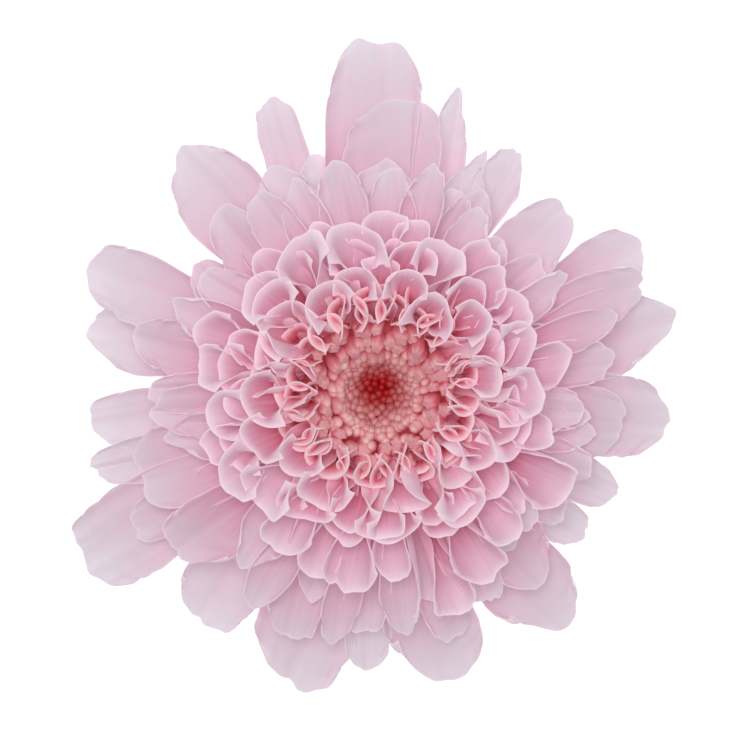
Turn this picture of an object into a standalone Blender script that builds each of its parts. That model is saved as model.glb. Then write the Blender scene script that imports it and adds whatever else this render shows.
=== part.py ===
"""A pompon chrysanthemum: one cut bloom, face up, on a short green stalk end.

Three solids make it: the stalk end with its cup of green bracts, the pink ray florets on
their common core, and the disc florets that fill the hollow in the middle. The bloom's
axis is +Z, the stalk's flat cut face stands on Z = 0 and the origin is at its centre.
Sizes below are in millimetres and are turned into metres by MM.
"""

import math
import random
from typing import NamedTuple

import bmesh
import bpy
import numpy as np
from mathutils import Vector
from mathutils.bvhtree import BVHTree

MM = 0.001

# Stalk end and green cup
STALK_RADIUS = 2.3
STALK_LENGTH = 3.0
STALK_FLARE = 1.6  # how much wider the stalk is where it meets the cup
CUP_RADIUS = 7.6
CUP_TOP = 6.8
CUP_ROUNDING = 1.0
CUP_DEPTH = 2.6  # from the cup's top down to where it starts to narrow
CUP_STEPS = 20
BRACT_WIDTH = 3.4
BRACT_FOOT_SHARE = 0.6  # width at the foot, as a share of BRACT_WIDTH
BRACT_WIDENING = 0.65  # what the width gains towards the tip, as a share of BRACT_WIDTH
BRACT_TIP_ROUNDING = 0.9
BRACT_CURL = 1.6  # power of the rise of a bract's tip
BRACT_CELLS = (3, 2)

# Pink core that every ray floret grows from: a ring round the well that holds the disc
SEAT_GAP = 0.35  # between the core and the green cup, and between the core and the disc
CORE_BOTTOM = CUP_TOP + SEAT_GAP
CORE_FOOT_RADIUS = 6.5
CORE_WAIST_RADIUS = 8.6
CORE_WAIST = 8.0
CORE_RADIUS = 13.2
CORE_WIDEST = 11.4
CORE_SHOULDER_RADIUS = 10.6
CORE_SHOULDER = 15.2
WELL_RADIUS = 7.4
WELL_FLOOR = 12.4
WELL_TAPER = 0.2
WELL_RIM = 14.4
CORE_STEPS = 14
LOWEST_ROOT = CORE_BOTTOM + 1.0

# Disc of bud-like florets in a shallow hollow
DISC_BOTTOM = WELL_FLOOR + SEAT_GAP
DISC_RADIUS = 6.5
DISC_TAPER = 0.4
DISC_RIM = 15.2
DISC_RIM_ROUNDING = 0.8
DISC_RIM_SHARE = 0.8  # where the dished top reaches its rim, as a share of the radius
DISC_HEART = 13.4
DISC_STEPS = 20
BUD_COUNT = 92
BUD_SPREAD = 0.98  # how far out the last bud stands, as a share of the disc's radius
BUD_WIDTHS = (0.85, 1.4)  # in the heart, at the rim
BUD_LENGTHS = (1.2, 3.1)
BUD_INCURVE = 0.5  # how far the rim's buds lean inwards, as a slope
BUD_DROOP = 0.32  # how far they lean towards -Y, as a slope
BUD_SIDES = 5
BUD_FOOT_SHARE = 0.72  # width at the foot, as a share of the widest
BUD_TIP_SHARE = 0.42  # height of the pointed tip, in widths
BUD_STAND = 0.32  # how much of a bud's length its middle stands above the dish
GOLDEN_ANGLE = math.radians(137.508)

# The bloom leans a little towards whoever looks at it face on. The florets' angles and
# reaches below are those that this viewer sees, about the heart of the disc.
LEAN = math.radians(7.0)
HEART_HEIGHT = 14.8

BLADE_THICKNESS = 0.62
LOWEST_TIP = 0.45

# Florets that would cross a neighbour are raised or rolled a little, the least that clears it
ROOT_SHARE = 0.5  # share of a floret's lift that its root takes
ROOT_FALL = 0.12  # how much lower the root of a longer floret is, for each millimetre
SLOPE_GAIN = 3.0  # degrees steeper for each millimetre of lift
SLOPE_FALL = 0.8  # degrees flatter for each millimetre of extra reach
RAISES = (0.0, 0.4, -0.4, 0.8, -0.8, 1.2, -1.2, 1.6, 2.0, 2.4)
ROLLS = (0, 8, -8, 16, -16)  # degrees at the middle of the blade

ROOT_HANDLE = 0.42  # lengths of the centre line's handles, as shares of the blade's length
TIP_HANDLE = 0.36
LIP_START = 0.75  # where along a blade its tip starts to turn up


class BractRow(NamedTuple):
    """One ring of green bracts, each given by the radius and height of its foot and tip."""

    foot: tuple
    tip: tuple
    count: int


LOWER_BRACTS = BractRow((3.2, 3.9), (8.9, 5.3), 11)
UPPER_BRACTS = BractRow((4.5, 4.9), (9.6, 6.6), 12)


class Form(NamedTuple):
    """The outline and section of one kind of ray floret."""

    root: float  # width at the root, as a share of the widest
    widest: float  # how far along it is widest
    tip: float  # width at the tip's shoulders, as a share of the widest
    shoulder: float  # how far the shoulders fall back, in half widths
    arcs: tuple  # degrees that the section turns through at root, middle and tip
    lip: float  # how far the tip turns up, in millimetres


BROAD = Form(0.13, 0.70, 0.72, 0.50, (110, 44, 34), 0.0)
ROUND = Form(0.13, 0.70, 0.64, 0.70, (110, 56, 60), 0.5)
OBTUSE = Form(0.13, 0.66, 0.50, 0.80, (110, 56, 60), 0.0)
POINTED = Form(0.13, 0.62, 0.26, 0.80, (110, 60, 70), 0.0)
FOLDED = Form(0.15, 0.62, 0.34, 0.80, (130, 110, 100), 0.0)
SPOON = Form(0.16, 0.70, 0.70, 0.60, (150, 100, 90), 1.0)
CUP = Form(0.2, 0.70, 0.76, 0.55, (160, 130, 110), 1.2)
TUBE = Form(0.36, 0.75, 0.90, 0.30, (200, 180, 150), 0.2)


class Floret(NamedTuple):
    """One ray floret, placed by its tip as the viewer sees it."""

    angle: float  # degrees, anticlockwise from +X
    reach: float  # from the heart to the tip
    width: float
    form: Form
    lift: float = 0.0  # how much higher than its neighbours its tip lies
    sway: float = 0.0  # degrees that the root is turned past the tip


class Row(NamedTuple):
    """One layer of ray florets."""

    florets: tuple
    root_radius: float
    root_height: float
    root_slope: float  # degrees above level at the root
    tip_slope: float
    tip_height: float  # of a floret with the middle reach
    middle_reach: float
    fall: float  # height lost for each millimetre of extra reach
    cells: tuple  # faces along and across each blade


OUTER = Row(
    florets=(
        Floret(353.5, 35.4, 9.0, BROAD),
        Floret(13.5, 37.3, 9.8, OBTUSE, -1.0),
        Floret(22, 34.5, 6.0, ROUND, 1.6),
        Floret(29, 36.5, 7.1, ROUND, -0.6),
        Floret(43, 31.2, 7.4, ROUND, 0.6),
        Floret(59.5, 33.0, 5.4, ROUND),
        Floret(65.5, 31.5, 4.8, POINTED, 1.0),
        Floret(75, 37.6, 4.8, POINTED, -0.6),
        Floret(86, 34.8, 10.5, BROAD, 2.4),
        Floret(90, 42.1, 10.2, BROAD, -0.8),
        Floret(104, 28.9, 7.1, ROUND, 0.8),
        Floret(110.5, 37.9, 4.5, ROUND, -0.6),
        Floret(116, 29.4, 7.1, ROUND, 1.2),
        Floret(128.5, 37.7, 9.8, OBTUSE),
        Floret(156.5, 38.0, 7.9, ROUND, 0.4),
        Floret(168, 36.0, 9.0, OBTUSE, -0.6),
        Floret(186, 34.9, 6.4, ROUND),
        Floret(196, 36.0, 5.2, OBTUSE, -0.8),
        Floret(210.5, 41.9, 10.4, BROAD),
        Floret(231, 35.4, 8.8, ROUND),
        Floret(253.5, 37.6, 11.2, BROAD, -0.4),
        Floret(267.5, 34.4, 5.4, ROUND, 1.0),
        Floret(284, 36.2, 10.4, ROUND, -0.4),
        Floret(308.5, 36.6, 9.8, OBTUSE),
        Floret(324.5, 30.8, 5.2, ROUND, 1.0),
        Floret(336, 31.7, 5.4, ROUND),
    ),
    root_radius=6.0,
    root_height=8.8,
    root_slope=12,
    tip_slope=-30,
    tip_height=3.0,
    middle_reach=35,
    fall=0.35,
    cells=(4, 2),
)

SECOND = Row(
    florets=(
        Floret(7, 28.5, 5.2, ROUND, 0.6),
        Floret(17, 30.0, 4.2, FOLDED, 1.0),
        Floret(31, 26.4, 3.8, FOLDED),
        Floret(50, 23.0, 4.6, ROUND, 0.8, -8),
        Floret(62, 26.8, 5.4, ROUND),
        Floret(76, 25.5, 4.6, FOLDED, 1.2),
        Floret(88, 27.6, 7.5, BROAD, 0.6),
        Floret(101, 25.0, 5.5, ROUND, -0.4),
        Floret(112, 24.6, 5.2, FOLDED, 0.8),
        Floret(122, 25.0, 4.6, ROUND),
        Floret(132, 28.6, 6.5, ROUND),
        Floret(147, 23.5, 5.5, ROUND, -0.8),
        Floret(158, 26.5, 5.0, FOLDED, 0.8),
        Floret(167.5, 30.1, 6.5, ROUND),
        Floret(181, 27.4, 4.8, ROUND, 0.8),
        Floret(200, 30.7, 10.6, BROAD),
        Floret(210, 34.0, 5.8, ROUND, -1.6),
        Floret(219, 31.2, 9.0, ROUND, 0.6),
        Floret(230, 27.0, 6.0, ROUND, -0.8),
        Floret(239, 29.5, 4.6, FOLDED, 0.8),
        Floret(250, 32.0, 6.6, ROUND),
        Floret(260, 31.5, 4.2, FOLDED, -0.6),
        Floret(267, 29.5, 5.2, ROUND, 0.8),
        Floret(276, 30.0, 4.6, FOLDED),
        Floret(287, 31.7, 6.0, ROUND, -0.6),
        Floret(299, 27.5, 5.6, ROUND, 0.8),
        Floret(310, 31.6, 8.6, POINTED),
        Floret(326, 27.0, 5.0, ROUND, 0.6),
        Floret(339, 27.5, 5.0, ROUND),
        Floret(351, 30.0, 9.0, BROAD, 0.4),
    ),
    root_radius=6.5,
    root_height=9.5,
    root_slope=30,
    tip_slope=-24,
    tip_height=9.6,
    middle_reach=28.5,
    fall=0.6,
    cells=(3, 2),
)

THIRD = Row(
    florets=(
        Floret(10, 23.2, 5.4, SPOON),
        Floret(19, 19.6, 4.6, CUP, 0.6),
        Floret(31, 20.4, 4.2, CUP),
        Floret(43, 20.5, 4.6, SPOON, -0.8),
        Floret(53, 21.7, 4.2, SPOON, 0.6),
        Floret(66, 19.0, 5.0, CUP, 0.6),
        Floret(77, 20.5, 3.8, SPOON, -0.6),
        Floret(87, 21.0, 4.2, CUP),
        Floret(99, 19.8, 5.4, CUP, 0.8),
        Floret(110, 21.0, 4.4, SPOON, -0.6),
        Floret(119, 20.2, 5.2, CUP, 0.6),
        Floret(130, 21.5, 4.4, SPOON, -0.8),
        Floret(141, 19.8, 5.2, CUP),
        Floret(160, 22.9, 5.6, SPOON),
        Floret(172, 21.4, 4.2, CUP, 0.6),
        Floret(187, 20.4, 4.8, CUP),
        Floret(200, 22.0, 4.6, SPOON, -0.8),
        Floret(211, 21.6, 5.4, CUP),
        Floret(223, 19.6, 5.4, CUP, 0.8),
        Floret(237.5, 22.6, 5.6, SPOON),
        Floret(250, 23.6, 4.6, SPOON, -0.6),
        Floret(261, 24.4, 6.0, SPOON),
        Floret(275, 22.8, 4.2, SPOON, 0.6),
        Floret(290, 28.6, 4.8, SPOON, -1.2),
        Floret(301, 26.6, 5.8, SPOON),
        Floret(312, 24.2, 4.6, SPOON, 1.0),
        Floret(322, 22.5, 4.2, SPOON, -0.6),
        Floret(333, 25.8, 6.4, SPOON),
        Floret(344, 21.6, 4.4, SPOON, 0.8),
        Floret(352, 25.8, 4.4, FOLDED, -0.6),
        Floret(1, 19.5, 4.6, CUP, 0.6),
    ),
    root_radius=7.6,
    root_height=10.3,
    root_slope=50,
    tip_slope=-6,
    tip_height=15.0,
    middle_reach=22.5,
    fall=0.7,
    cells=(3, 2),
)

FOURTH = Row(
    florets=(
        Floret(7, 15.2, 3.8, CUP),
        Floret(20, 16.0, 3.2, TUBE, 0.6),
        Floret(36, 16.4, 3.8, CUP),
        Floret(56, 13.9, 4.6, CUP, 0.8),
        Floret(76, 15.1, 4.0, CUP),
        Floret(88, 15.8, 3.2, TUBE, -0.8),
        Floret(101, 15.2, 3.9, CUP),
        Floret(121, 14.6, 4.8, CUP, 0.6),
        Floret(144, 16.3, 5.5, CUP),
        Floret(160, 15.6, 3.2, TUBE, 0.6),
        Floret(172, 15.4, 3.6, TUBE, -0.6),
        Floret(186, 16.7, 5.2, CUP),
        Floret(203, 17.6, 4.6, CUP),
        Floret(221, 15.2, 4.2, CUP, 0.6),
        Floret(241, 16.2, 5.0, CUP),
        Floret(259, 17.8, 4.6, CUP),
        Floret(275, 18.8, 5.0, CUP, -0.4),
        Floret(286, 15.4, 4.0, TUBE, 0.8),
        Floret(296, 18.0, 3.8, CUP, -0.6),
        Floret(306, 19.6, 4.6, CUP),
        Floret(315, 15.4, 4.0, TUBE, 0.8),
        Floret(328, 16.6, 4.0, CUP),
        Floret(343, 17.8, 4.2, CUP),
        Floret(355, 17.2, 3.4, TUBE, -0.8),
    ),
    root_radius=8.6,
    root_height=11.0,
    root_slope=68,
    tip_slope=16,
    tip_height=18.2,
    middle_reach=16.5,
    fall=0.5,
    cells=(3, 2),
)

INNER = Row(
    florets=(
        Floret(354, 12.4, 3.2, TUBE),
        Floret(14, 12.3, 3.0, TUBE),
        Floret(31, 11.2, 2.6, TUBE, -0.6),
        Floret(48, 11.6, 2.8, TUBE),
        Floret(63, 11.0, 2.6, TUBE, -0.6),
        Floret(78, 11.6, 2.8, TUBE),
        Floret(94, 11.2, 2.6, TUBE, -0.4),
        Floret(110, 11.9, 3.4, TUBE),
        Floret(130, 11.3, 3.2, TUBE),
        Floret(149, 11.0, 2.6, TUBE, -0.6),
        Floret(168, 11.2, 2.6, TUBE),
        Floret(187, 11.7, 3.4, TUBE),
        Floret(206, 13.0, 3.4, TUBE),
        Floret(220, 11.4, 2.6, TUBE, -0.6),
        Floret(235, 12.6, 3.8, TUBE),
        Floret(252, 11.6, 2.8, TUBE, -0.4),
        Floret(268, 12.4, 3.2, TUBE),
        Floret(284, 11.2, 2.6, TUBE, -0.6),
        Floret(300, 11.6, 3.0, TUBE),
        Floret(319, 12.4, 3.2, TUBE),
        Floret(336, 12.4, 3.2, TUBE, 0.4),
    ),
    root_radius=9.3,
    root_height=11.4,
    root_slope=82,
    tip_slope=50,
    tip_height=19.4,
    middle_reach=11.8,
    fall=0.2,
    cells=(3, 2),
)

RAY_ROWS = (OUTER, SECOND, THIRD, FOURTH, INNER)


def clear_scene():
    """Removes every object, so that the bloom stands alone."""
    for old in list(bpy.data.objects):
        bpy.data.objects.remove(old, do_unlink=True)


def new_collection(name):
    """A collection of the given name, linked to the scene."""
    made = bpy.data.collections.new(name)
    bpy.context.scene.collection.children.link(made)
    return made


def new_material(name, colour, roughness):
    """A plain plant finish."""
    material = bpy.data.materials.new(name)
    material.use_nodes = True
    shader = material.node_tree.nodes["Principled BSDF"]
    shader.inputs["Base Color"].default_value = (*colour, 1.0)
    shader.inputs["Roughness"].default_value = roughness
    shader.inputs["Metallic"].default_value = 0.0
    return material


def new_object(name, bm, collection):
    """Turns a bmesh into an object of the collection and frees the bmesh."""
    mesh = bpy.data.meshes.new(name)
    bm.to_mesh(mesh)
    bm.free()
    made = bpy.data.objects.new(name, mesh)
    collection.objects.link(made)
    return made


def turned(name, profile, steps, collection):
    """A solid of revolution from (radius, height) pairs given top to bottom."""
    bm = bmesh.new()
    points = [bm.verts.new((radius * MM, 0.0, height * MM)) for radius, height in profile]
    for upper, lower in zip(points, points[1:]):
        bm.edges.new((upper, lower))
    made = new_object(name, bm, collection)
    screw = made.modifiers.new("Turn", "SCREW")
    screw.axis = "Z"
    screw.steps = steps
    screw.render_steps = steps
    screw.use_merge_vertices = True
    screw.merge_threshold = 1e-6
    return made


def apply_modifiers(made):
    """Keeps the object's evaluated mesh and drops its modifiers."""
    graph = bpy.context.evaluated_depsgraph_get()
    mesh = bpy.data.meshes.new_from_object(made.evaluated_get(graph))
    made.modifiers.clear()
    made.data = mesh


def union(base, pieces, solver):
    """Joins the pieces to the base in one solid and removes them."""
    boolean = base.modifiers.new("Join", "BOOLEAN")
    boolean.operation = "UNION"
    boolean.operand_type = "COLLECTION"
    boolean.collection = pieces
    boolean.solver = solver
    bpy.context.view_layer.update()
    apply_modifiers(base)
    for piece in list(pieces.objects):
        bpy.data.objects.remove(piece, do_unlink=True)
    bpy.data.collections.remove(pieces)


def blend(values, at):
    """Reads three values given at 0, one half and 1 along a blade, smoothly between them."""
    first, middle, last = values
    near = first + (middle - first) * np.sin(np.minimum(at * 2, 1) * math.pi / 2)
    return near + (last - middle) * np.maximum(at * 2 - 1, 0) ** 2


def width_share(form, at):
    """Width along a blade, as a share of its widest."""
    rise = np.clip(at / form.widest, 0, 1)
    rise = rise * rise * (3 - 2 * rise)
    drop = np.clip((at - form.widest) / (1 - form.widest), 0, 1)
    return (form.root + (1 - form.root) * rise) * (1 - (1 - form.tip) * drop**2)


def plan_place(floret, tip_height):
    """Angle and radius about the axis of a tip, from what the viewer sees of it."""
    seen = math.radians(floret.angle)
    across = floret.reach * math.cos(seen)
    up = floret.reach * math.sin(seen) + (tip_height - HEART_HEIGHT) * math.sin(LEAN)
    up /= math.cos(LEAN)
    return math.atan2(up, across), math.hypot(across, up)


def centre_line(root, tip, root_slope, tip_slope, at):
    """Radius, height and unit direction along a cubic curve from root to tip."""
    root = np.array(root)
    tip = np.array(tip)
    length = float(np.linalg.norm(tip - root))
    leave = np.array((math.cos(root_slope), math.sin(root_slope)))
    arrive = np.array((math.cos(tip_slope), math.sin(tip_slope)))
    second = root + leave * length * ROOT_HANDLE
    third = tip - arrive * length * TIP_HANDLE
    at = at[:, None]
    spare = 1 - at
    place = spare**3 * root + 3 * spare**2 * at * second + 3 * spare * at**2 * third + at**3 * tip
    way = 3 * spare**2 * (second - root) + 6 * spare * at * (third - second)
    way = way + 3 * at**2 * (tip - third)
    return place, way / np.linalg.norm(way, axis=1, keepdims=True)


def blade_points(across, along, floret, row, raised=0.0, roll=0.0):
    """Points of a floret's inner face for sideways places of -1 to 1 and lengths of 0 to 1."""
    extra = floret.reach - row.middle_reach
    lift = floret.lift + raised
    tip_height = max(row.tip_height - row.fall * extra + lift, LOWEST_TIP + BLADE_THICKNESS)
    root_height = row.root_height - ROOT_FALL * extra + ROOT_SHARE * floret.lift + raised
    root_height = max(root_height, LOWEST_ROOT)
    root_slope = row.root_slope - SLOPE_FALL * extra + SLOPE_GAIN * floret.lift
    turn, reach = plan_place(floret, tip_height)
    half_width = floret.width / 2
    fall_back = floret.form.shoulder * half_width / max(reach - row.root_radius, half_width * 2)
    at = along * (1 - fall_back * across**2)
    place, way = centre_line(
        (row.root_radius, root_height),
        (reach, tip_height),
        math.radians(root_slope),
        math.radians(row.tip_slope),
        at,
    )
    half_arc = np.radians(blend(floret.form.arcs, along)) / 2
    widest_arc = math.radians(floret.form.arcs[1]) / 2
    spread = half_width / math.sin(min(widest_arc, math.pi / 2)) * widest_arc
    half_flat = spread * width_share(floret.form, along)
    radius = half_flat / half_arc
    side = radius * np.sin(half_arc * across)
    rise = radius * (1 - np.cos(half_arc * across))
    rise = rise + floret.form.lip * np.clip((along - LIP_START) / (1 - LIP_START), 0, 1) ** 2
    swing = roll * np.sin(math.pi * along)
    rolled_side = side * np.cos(swing) - rise * np.sin(swing)
    rolled_rise = side * np.sin(swing) + rise * np.cos(swing)
    out = place[:, 0] - way[:, 1] * rolled_rise
    height = place[:, 1] + way[:, 0] * rolled_rise
    azimuth = turn + math.radians(floret.sway) * (1 - along) ** 2
    x = out * np.cos(azimuth) + rolled_side * np.sin(azimuth)
    y = out * np.sin(azimuth) - rolled_side * np.cos(azimuth)
    return np.stack((x, y, height), axis=1) * MM


def blade(points_of, cells):
    """A thin closed blade: a grid shaped by a formula, split in triangles and given its wall."""
    along, across = cells
    bm = bmesh.new()
    bmesh.ops.create_grid(bm, x_segments=across, y_segments=along, size=1.0)
    flat = np.array([vertex.co[:] for vertex in bm.verts])
    shaped = points_of(flat[:, 0], flat[:, 1] / 2 + 0.5)
    for vertex, point in zip(bm.verts, shaped):
        vertex.co = point
    bmesh.ops.triangulate(bm, faces=bm.faces, quad_method="SHORT_EDGE")
    bmesh.ops.solidify(bm, geom=bm.faces[:], thickness=BLADE_THICKNESS * MM)
    bm.faces.ensure_lookup_table()
    return bm


def crossings(bm, tree, placed):
    """How many faces of a blade cross the blades already placed, outside the core."""
    found = 0
    for other in placed:
        for mine, _ in tree.overlap(other):
            if bm.faces[mine].calc_center_median().xy.length > CORE_RADIUS * MM:
                found += 1
    return found


def settled_blade(floret, row, placed):
    """The floret's blade at the smallest raise and roll that keeps it clear of those placed."""
    best = None
    for raised in RAISES:
        for roll in ROLLS:
            swing = math.radians(roll)

            def points_of(across, along):
                return blade_points(across, along, floret, row, raised, swing)

            bm = blade(points_of, row.cells)
            tree = BVHTree.FromBMesh(bm)
            found = crossings(bm, tree, placed)
            if best is None or found < best[0]:
                if best:
                    best[1].free()
                best = (found, bm, tree)
            else:
                bm.free()
            if best[0] == 0:
                break
        if best[0] == 0:
            break
    placed.append(best[2])
    return best[1]


def keep_largest_body(made):
    """Drops the loose scraps and sealed pockets that fusing many blades leaves."""
    bm = bmesh.new()
    bm.from_mesh(made.data)
    bmesh.ops.triangulate(bm, faces=bm.faces)
    bodies = []
    waiting = set(bm.faces)
    while waiting:
        body = [waiting.pop()]
        for face in body:
            for edge in face.edges:
                for other in edge.link_faces:
                    if other in waiting and len(edge.link_faces) == 2:
                        waiting.remove(other)
                        body.append(other)
        bodies.append(body)
    bodies.sort(key=len)
    spare = [face for body in bodies[:-1] for face in body]
    bmesh.ops.delete(bm, geom=spare, context="FACES")
    bm.to_mesh(made.data)
    bm.free()


def build_ray_florets(collection):
    """All the pink florets, fused to their core."""
    core_profile = (
        (0.0, WELL_FLOOR),
        (WELL_RADIUS - WELL_TAPER, WELL_FLOOR),
        (WELL_RADIUS, WELL_RIM),
        (CORE_SHOULDER_RADIUS, CORE_SHOULDER),
        (CORE_RADIUS, CORE_WIDEST),
        (CORE_WAIST_RADIUS, CORE_WAIST),
        (CORE_FOOT_RADIUS, CORE_BOTTOM),
        (0.0, CORE_BOTTOM),
    )
    rays = turned("ray_florets", core_profile, CORE_STEPS, collection)
    apply_modifiers(rays)
    blades = new_collection("ray blades")
    placed = []
    for row_number, row in enumerate(RAY_ROWS):
        order = row.florets[::2] + row.florets[1::2]
        for number, floret in enumerate(order):
            new_object(f"ray_{row_number}_{number}", settled_blade(floret, row, placed), blades)
    union(rays, blades, "MANIFOLD")
    keep_largest_body(rays)
    return rays


def bract_points(across, along, turn, row, spread):
    """Points of one green bract, pressed to the cup with its tip turned out."""
    out = row.foot[0] + (row.tip[0] * spread - row.foot[0]) * along
    height = row.foot[1] + (row.tip[1] - row.foot[1]) * along**BRACT_CURL
    half_width = BRACT_WIDTH / 2 * (BRACT_FOOT_SHARE + BRACT_WIDENING * along)
    half_width = half_width * np.sqrt(1 - BRACT_TIP_ROUNDING * along**3)
    side = across * half_width
    out = out - side**2 / (2 * out)
    x = out * np.cos(turn) + side * np.sin(turn)
    y = out * np.sin(turn) - side * np.cos(turn)
    return np.stack((x, y, height), axis=1) * MM


def build_green_cup(collection):
    """The stalk end and the cup of bracts under the bloom, as one green solid."""
    profile = (
        (0.0, CUP_TOP),
        (CUP_RADIUS - CUP_ROUNDING, CUP_TOP),
        (CUP_RADIUS, CUP_TOP - CUP_ROUNDING),
        (CUP_RADIUS - CUP_ROUNDING, CUP_TOP - CUP_DEPTH),
        (STALK_RADIUS + STALK_FLARE, STALK_LENGTH),
        (STALK_RADIUS, STALK_LENGTH - STALK_FLARE),
        (STALK_RADIUS, 0.0),
        (0.0, 0.0),
    )
    green = turned("stalk_and_bracts", profile, CUP_STEPS, collection)
    apply_modifiers(green)
    blades = new_collection("bract blades")
    draw = random.Random(3)
    for row_number, row in enumerate((LOWER_BRACTS, UPPER_BRACTS)):
        for number in range(row.count):
            turn = 2 * math.pi * (number + draw.uniform(-0.08, 0.08)) / row.count + 0.3 * row_number
            spread = draw.uniform(0.96, 1.03)

            def points_of(across, along):
                return bract_points(across, along, turn, row, spread)

            bract = blade(points_of, BRACT_CELLS)
            new_object(f"bract_{row_number}_{number}", bract, blades)
    union(green, blades, "MANIFOLD")
    keep_largest_body(green)
    return green


def bud(name, place, way, width, length, collection):
    """One closed disc floret: a few-sided spindle with a pointed tip, pointing the given way."""
    bm = bmesh.new()
    bmesh.ops.create_cone(
        bm,
        cap_ends=True,
        segments=BUD_SIDES,
        radius1=width / 2 * BUD_FOOT_SHARE * MM,
        radius2=width / 2 * MM,
        depth=length * MM,
    )
    top = [face for face in bm.faces if len(face.verts) == BUD_SIDES and face.calc_center_median().z > 0]
    bmesh.ops.poke(bm, faces=top, offset=width * BUD_TIP_SHARE * MM)
    bmesh.ops.translate(bm, verts=bm.verts, vec=(0, 0, length * BUD_STAND * MM))
    made = new_object(name, bm, collection)
    made.location = [value * MM for value in place]
    made.rotation_mode = "QUATERNION"
    made.rotation_quaternion = way.to_track_quat("Z", "Y")
    return made


def dish_height(share):
    """Height of the disc's dished top at a share of its radius."""
    return DISC_HEART + (DISC_RIM - DISC_HEART) * min(share / DISC_RIM_SHARE, 1) ** 1.5


def build_disc_florets(collection):
    """The closed florets of the disc, fused to their dished base."""
    profile = (
        (0.0, DISC_HEART),
        (DISC_RADIUS * DISC_RIM_SHARE / 2, dish_height(DISC_RIM_SHARE / 2)),
        (DISC_RADIUS * DISC_RIM_SHARE, DISC_RIM),
        (DISC_RADIUS, DISC_RIM - DISC_RIM_ROUNDING),
        (DISC_RADIUS - DISC_TAPER, DISC_BOTTOM),
        (0.0, DISC_BOTTOM),
    )
    disc = turned("disc_florets", profile, DISC_STEPS, collection)
    apply_modifiers(disc)
    buds = new_collection("disc buds")
    draw = random.Random(7)
    for number in range(BUD_COUNT):
        share = math.sqrt((number + 0.5) / BUD_COUNT)
        radius = DISC_RADIUS * share * BUD_SPREAD
        turn = number * GOLDEN_ANGLE
        width = BUD_WIDTHS[0] + (BUD_WIDTHS[1] - BUD_WIDTHS[0]) * share
        length = BUD_LENGTHS[0] + (BUD_LENGTHS[1] - BUD_LENGTHS[0]) * share**2
        length *= draw.uniform(0.85, 1.15)
        inwards = BUD_INCURVE * share**2
        way = Vector((-inwards * math.cos(turn), -inwards * math.sin(turn) - BUD_DROOP * share, 1.0))
        place = (radius * math.cos(turn), radius * math.sin(turn), dish_height(share))
        bud(f"bud_{number}", place, way, width, length, buds)
    union(disc, buds, "MANIFOLD")
    keep_largest_body(disc)
    return disc


def main():
    """Builds the bloom's three solids, each with its own finish."""
    clear_scene()
    bloom = new_collection("pompon chrysanthemum")
    green = build_green_cup(bloom)
    rays = build_ray_florets(bloom)
    disc = build_disc_florets(bloom)
    green.data.materials.append(new_material("leaf green", (0.16, 0.27, 0.07), 0.55))
    rays.data.materials.append(new_material("petal pink", (0.80, 0.47, 0.58), 0.5))
    disc.data.materials.append(new_material("bud rose", (0.72, 0.32, 0.30), 0.5))


main()
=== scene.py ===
"""Looks of one cut pompon chrysanthemum bloom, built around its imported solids.

The ray florets, the closed disc florets and the green cup under them each stand where their
plain solid stands and replace it. The bloom's axis is +Z and the origin is at the centre of
the stalk's cut face. Sizes are in millimetres and become metres through MM.
"""

from __future__ import annotations

import logging
import math
import random
from dataclasses import dataclass
from enum import Enum
from typing import Any, ClassVar

import bmesh
import bpy
import numpy as np
from mathutils import Matrix, Vector
from mathutils.bvhtree import BVHTree

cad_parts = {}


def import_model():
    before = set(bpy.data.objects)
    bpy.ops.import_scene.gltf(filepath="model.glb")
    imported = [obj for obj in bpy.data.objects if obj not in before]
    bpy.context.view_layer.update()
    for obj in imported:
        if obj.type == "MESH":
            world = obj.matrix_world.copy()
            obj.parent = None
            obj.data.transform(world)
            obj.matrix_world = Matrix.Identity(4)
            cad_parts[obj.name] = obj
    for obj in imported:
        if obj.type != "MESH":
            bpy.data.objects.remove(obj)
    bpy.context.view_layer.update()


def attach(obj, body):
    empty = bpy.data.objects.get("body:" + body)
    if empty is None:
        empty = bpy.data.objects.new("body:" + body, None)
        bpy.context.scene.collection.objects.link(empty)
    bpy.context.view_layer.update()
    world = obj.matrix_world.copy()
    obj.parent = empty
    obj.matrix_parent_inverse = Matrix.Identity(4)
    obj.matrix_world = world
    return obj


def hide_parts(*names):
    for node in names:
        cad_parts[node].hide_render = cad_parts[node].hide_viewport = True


LOG = logging.getLogger("bloom")
MM = 0.001
BODY = "root"

# The bloom leans a little towards whoever looks at it face on. The florets' angles and
# reaches are those that this viewer sees, about the heart of the disc.
LEAN = math.radians(7.0)
HEART_HEIGHT = 14.8

# The solids' florets, whose places the finished ones share
SOLID_THICKNESS = 0.62
SOLID_CORE_RADIUS = 13.2
LOWEST_TIP = 0.45
LOWEST_ROOT = 8.15
ROOT_HANDLE = 0.42  # how far the curve keeps its root's slope, as a share of its length
TIP_HANDLE = 0.36  # the same at its tip
LIP_START = 0.75  # where the tip starts to turn up, as a share of the length
ROOT_SHARE = 0.5  # share of a floret's lift that its root takes
ROOT_FALL = 0.12  # height that the root loses for each millimetre of extra reach
SLOPE_GAIN = 3.0  # degrees that the root's slope gains for each millimetre of lift
SLOPE_FALL = 0.8  # degrees that it loses for each millimetre of extra reach
RAISES = (0.0, 0.4, -0.4, 0.8, -0.8, 1.2, -1.2, 1.6, 2.0, 2.4)  # tried in turn
ROLLS = (0, 8, -8, 16, -16)  # degrees, tried in turn at each raise

# Painted glow: petals and disc florets give off a dim light of their own colour. It stands in for light
# that passes through the thin tissue and lifts their shade
PAINTED_GLOW_STRENGTH = 0.26
PAINTED_GLOW_DIMMING = 0.55
BLACK = (0.0, 0.0, 0.0)

Pair = tuple[float, float]
Triple = tuple[float, float, float]
Profile = tuple[Pair, ...]
Grid = np.ndarray


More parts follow.
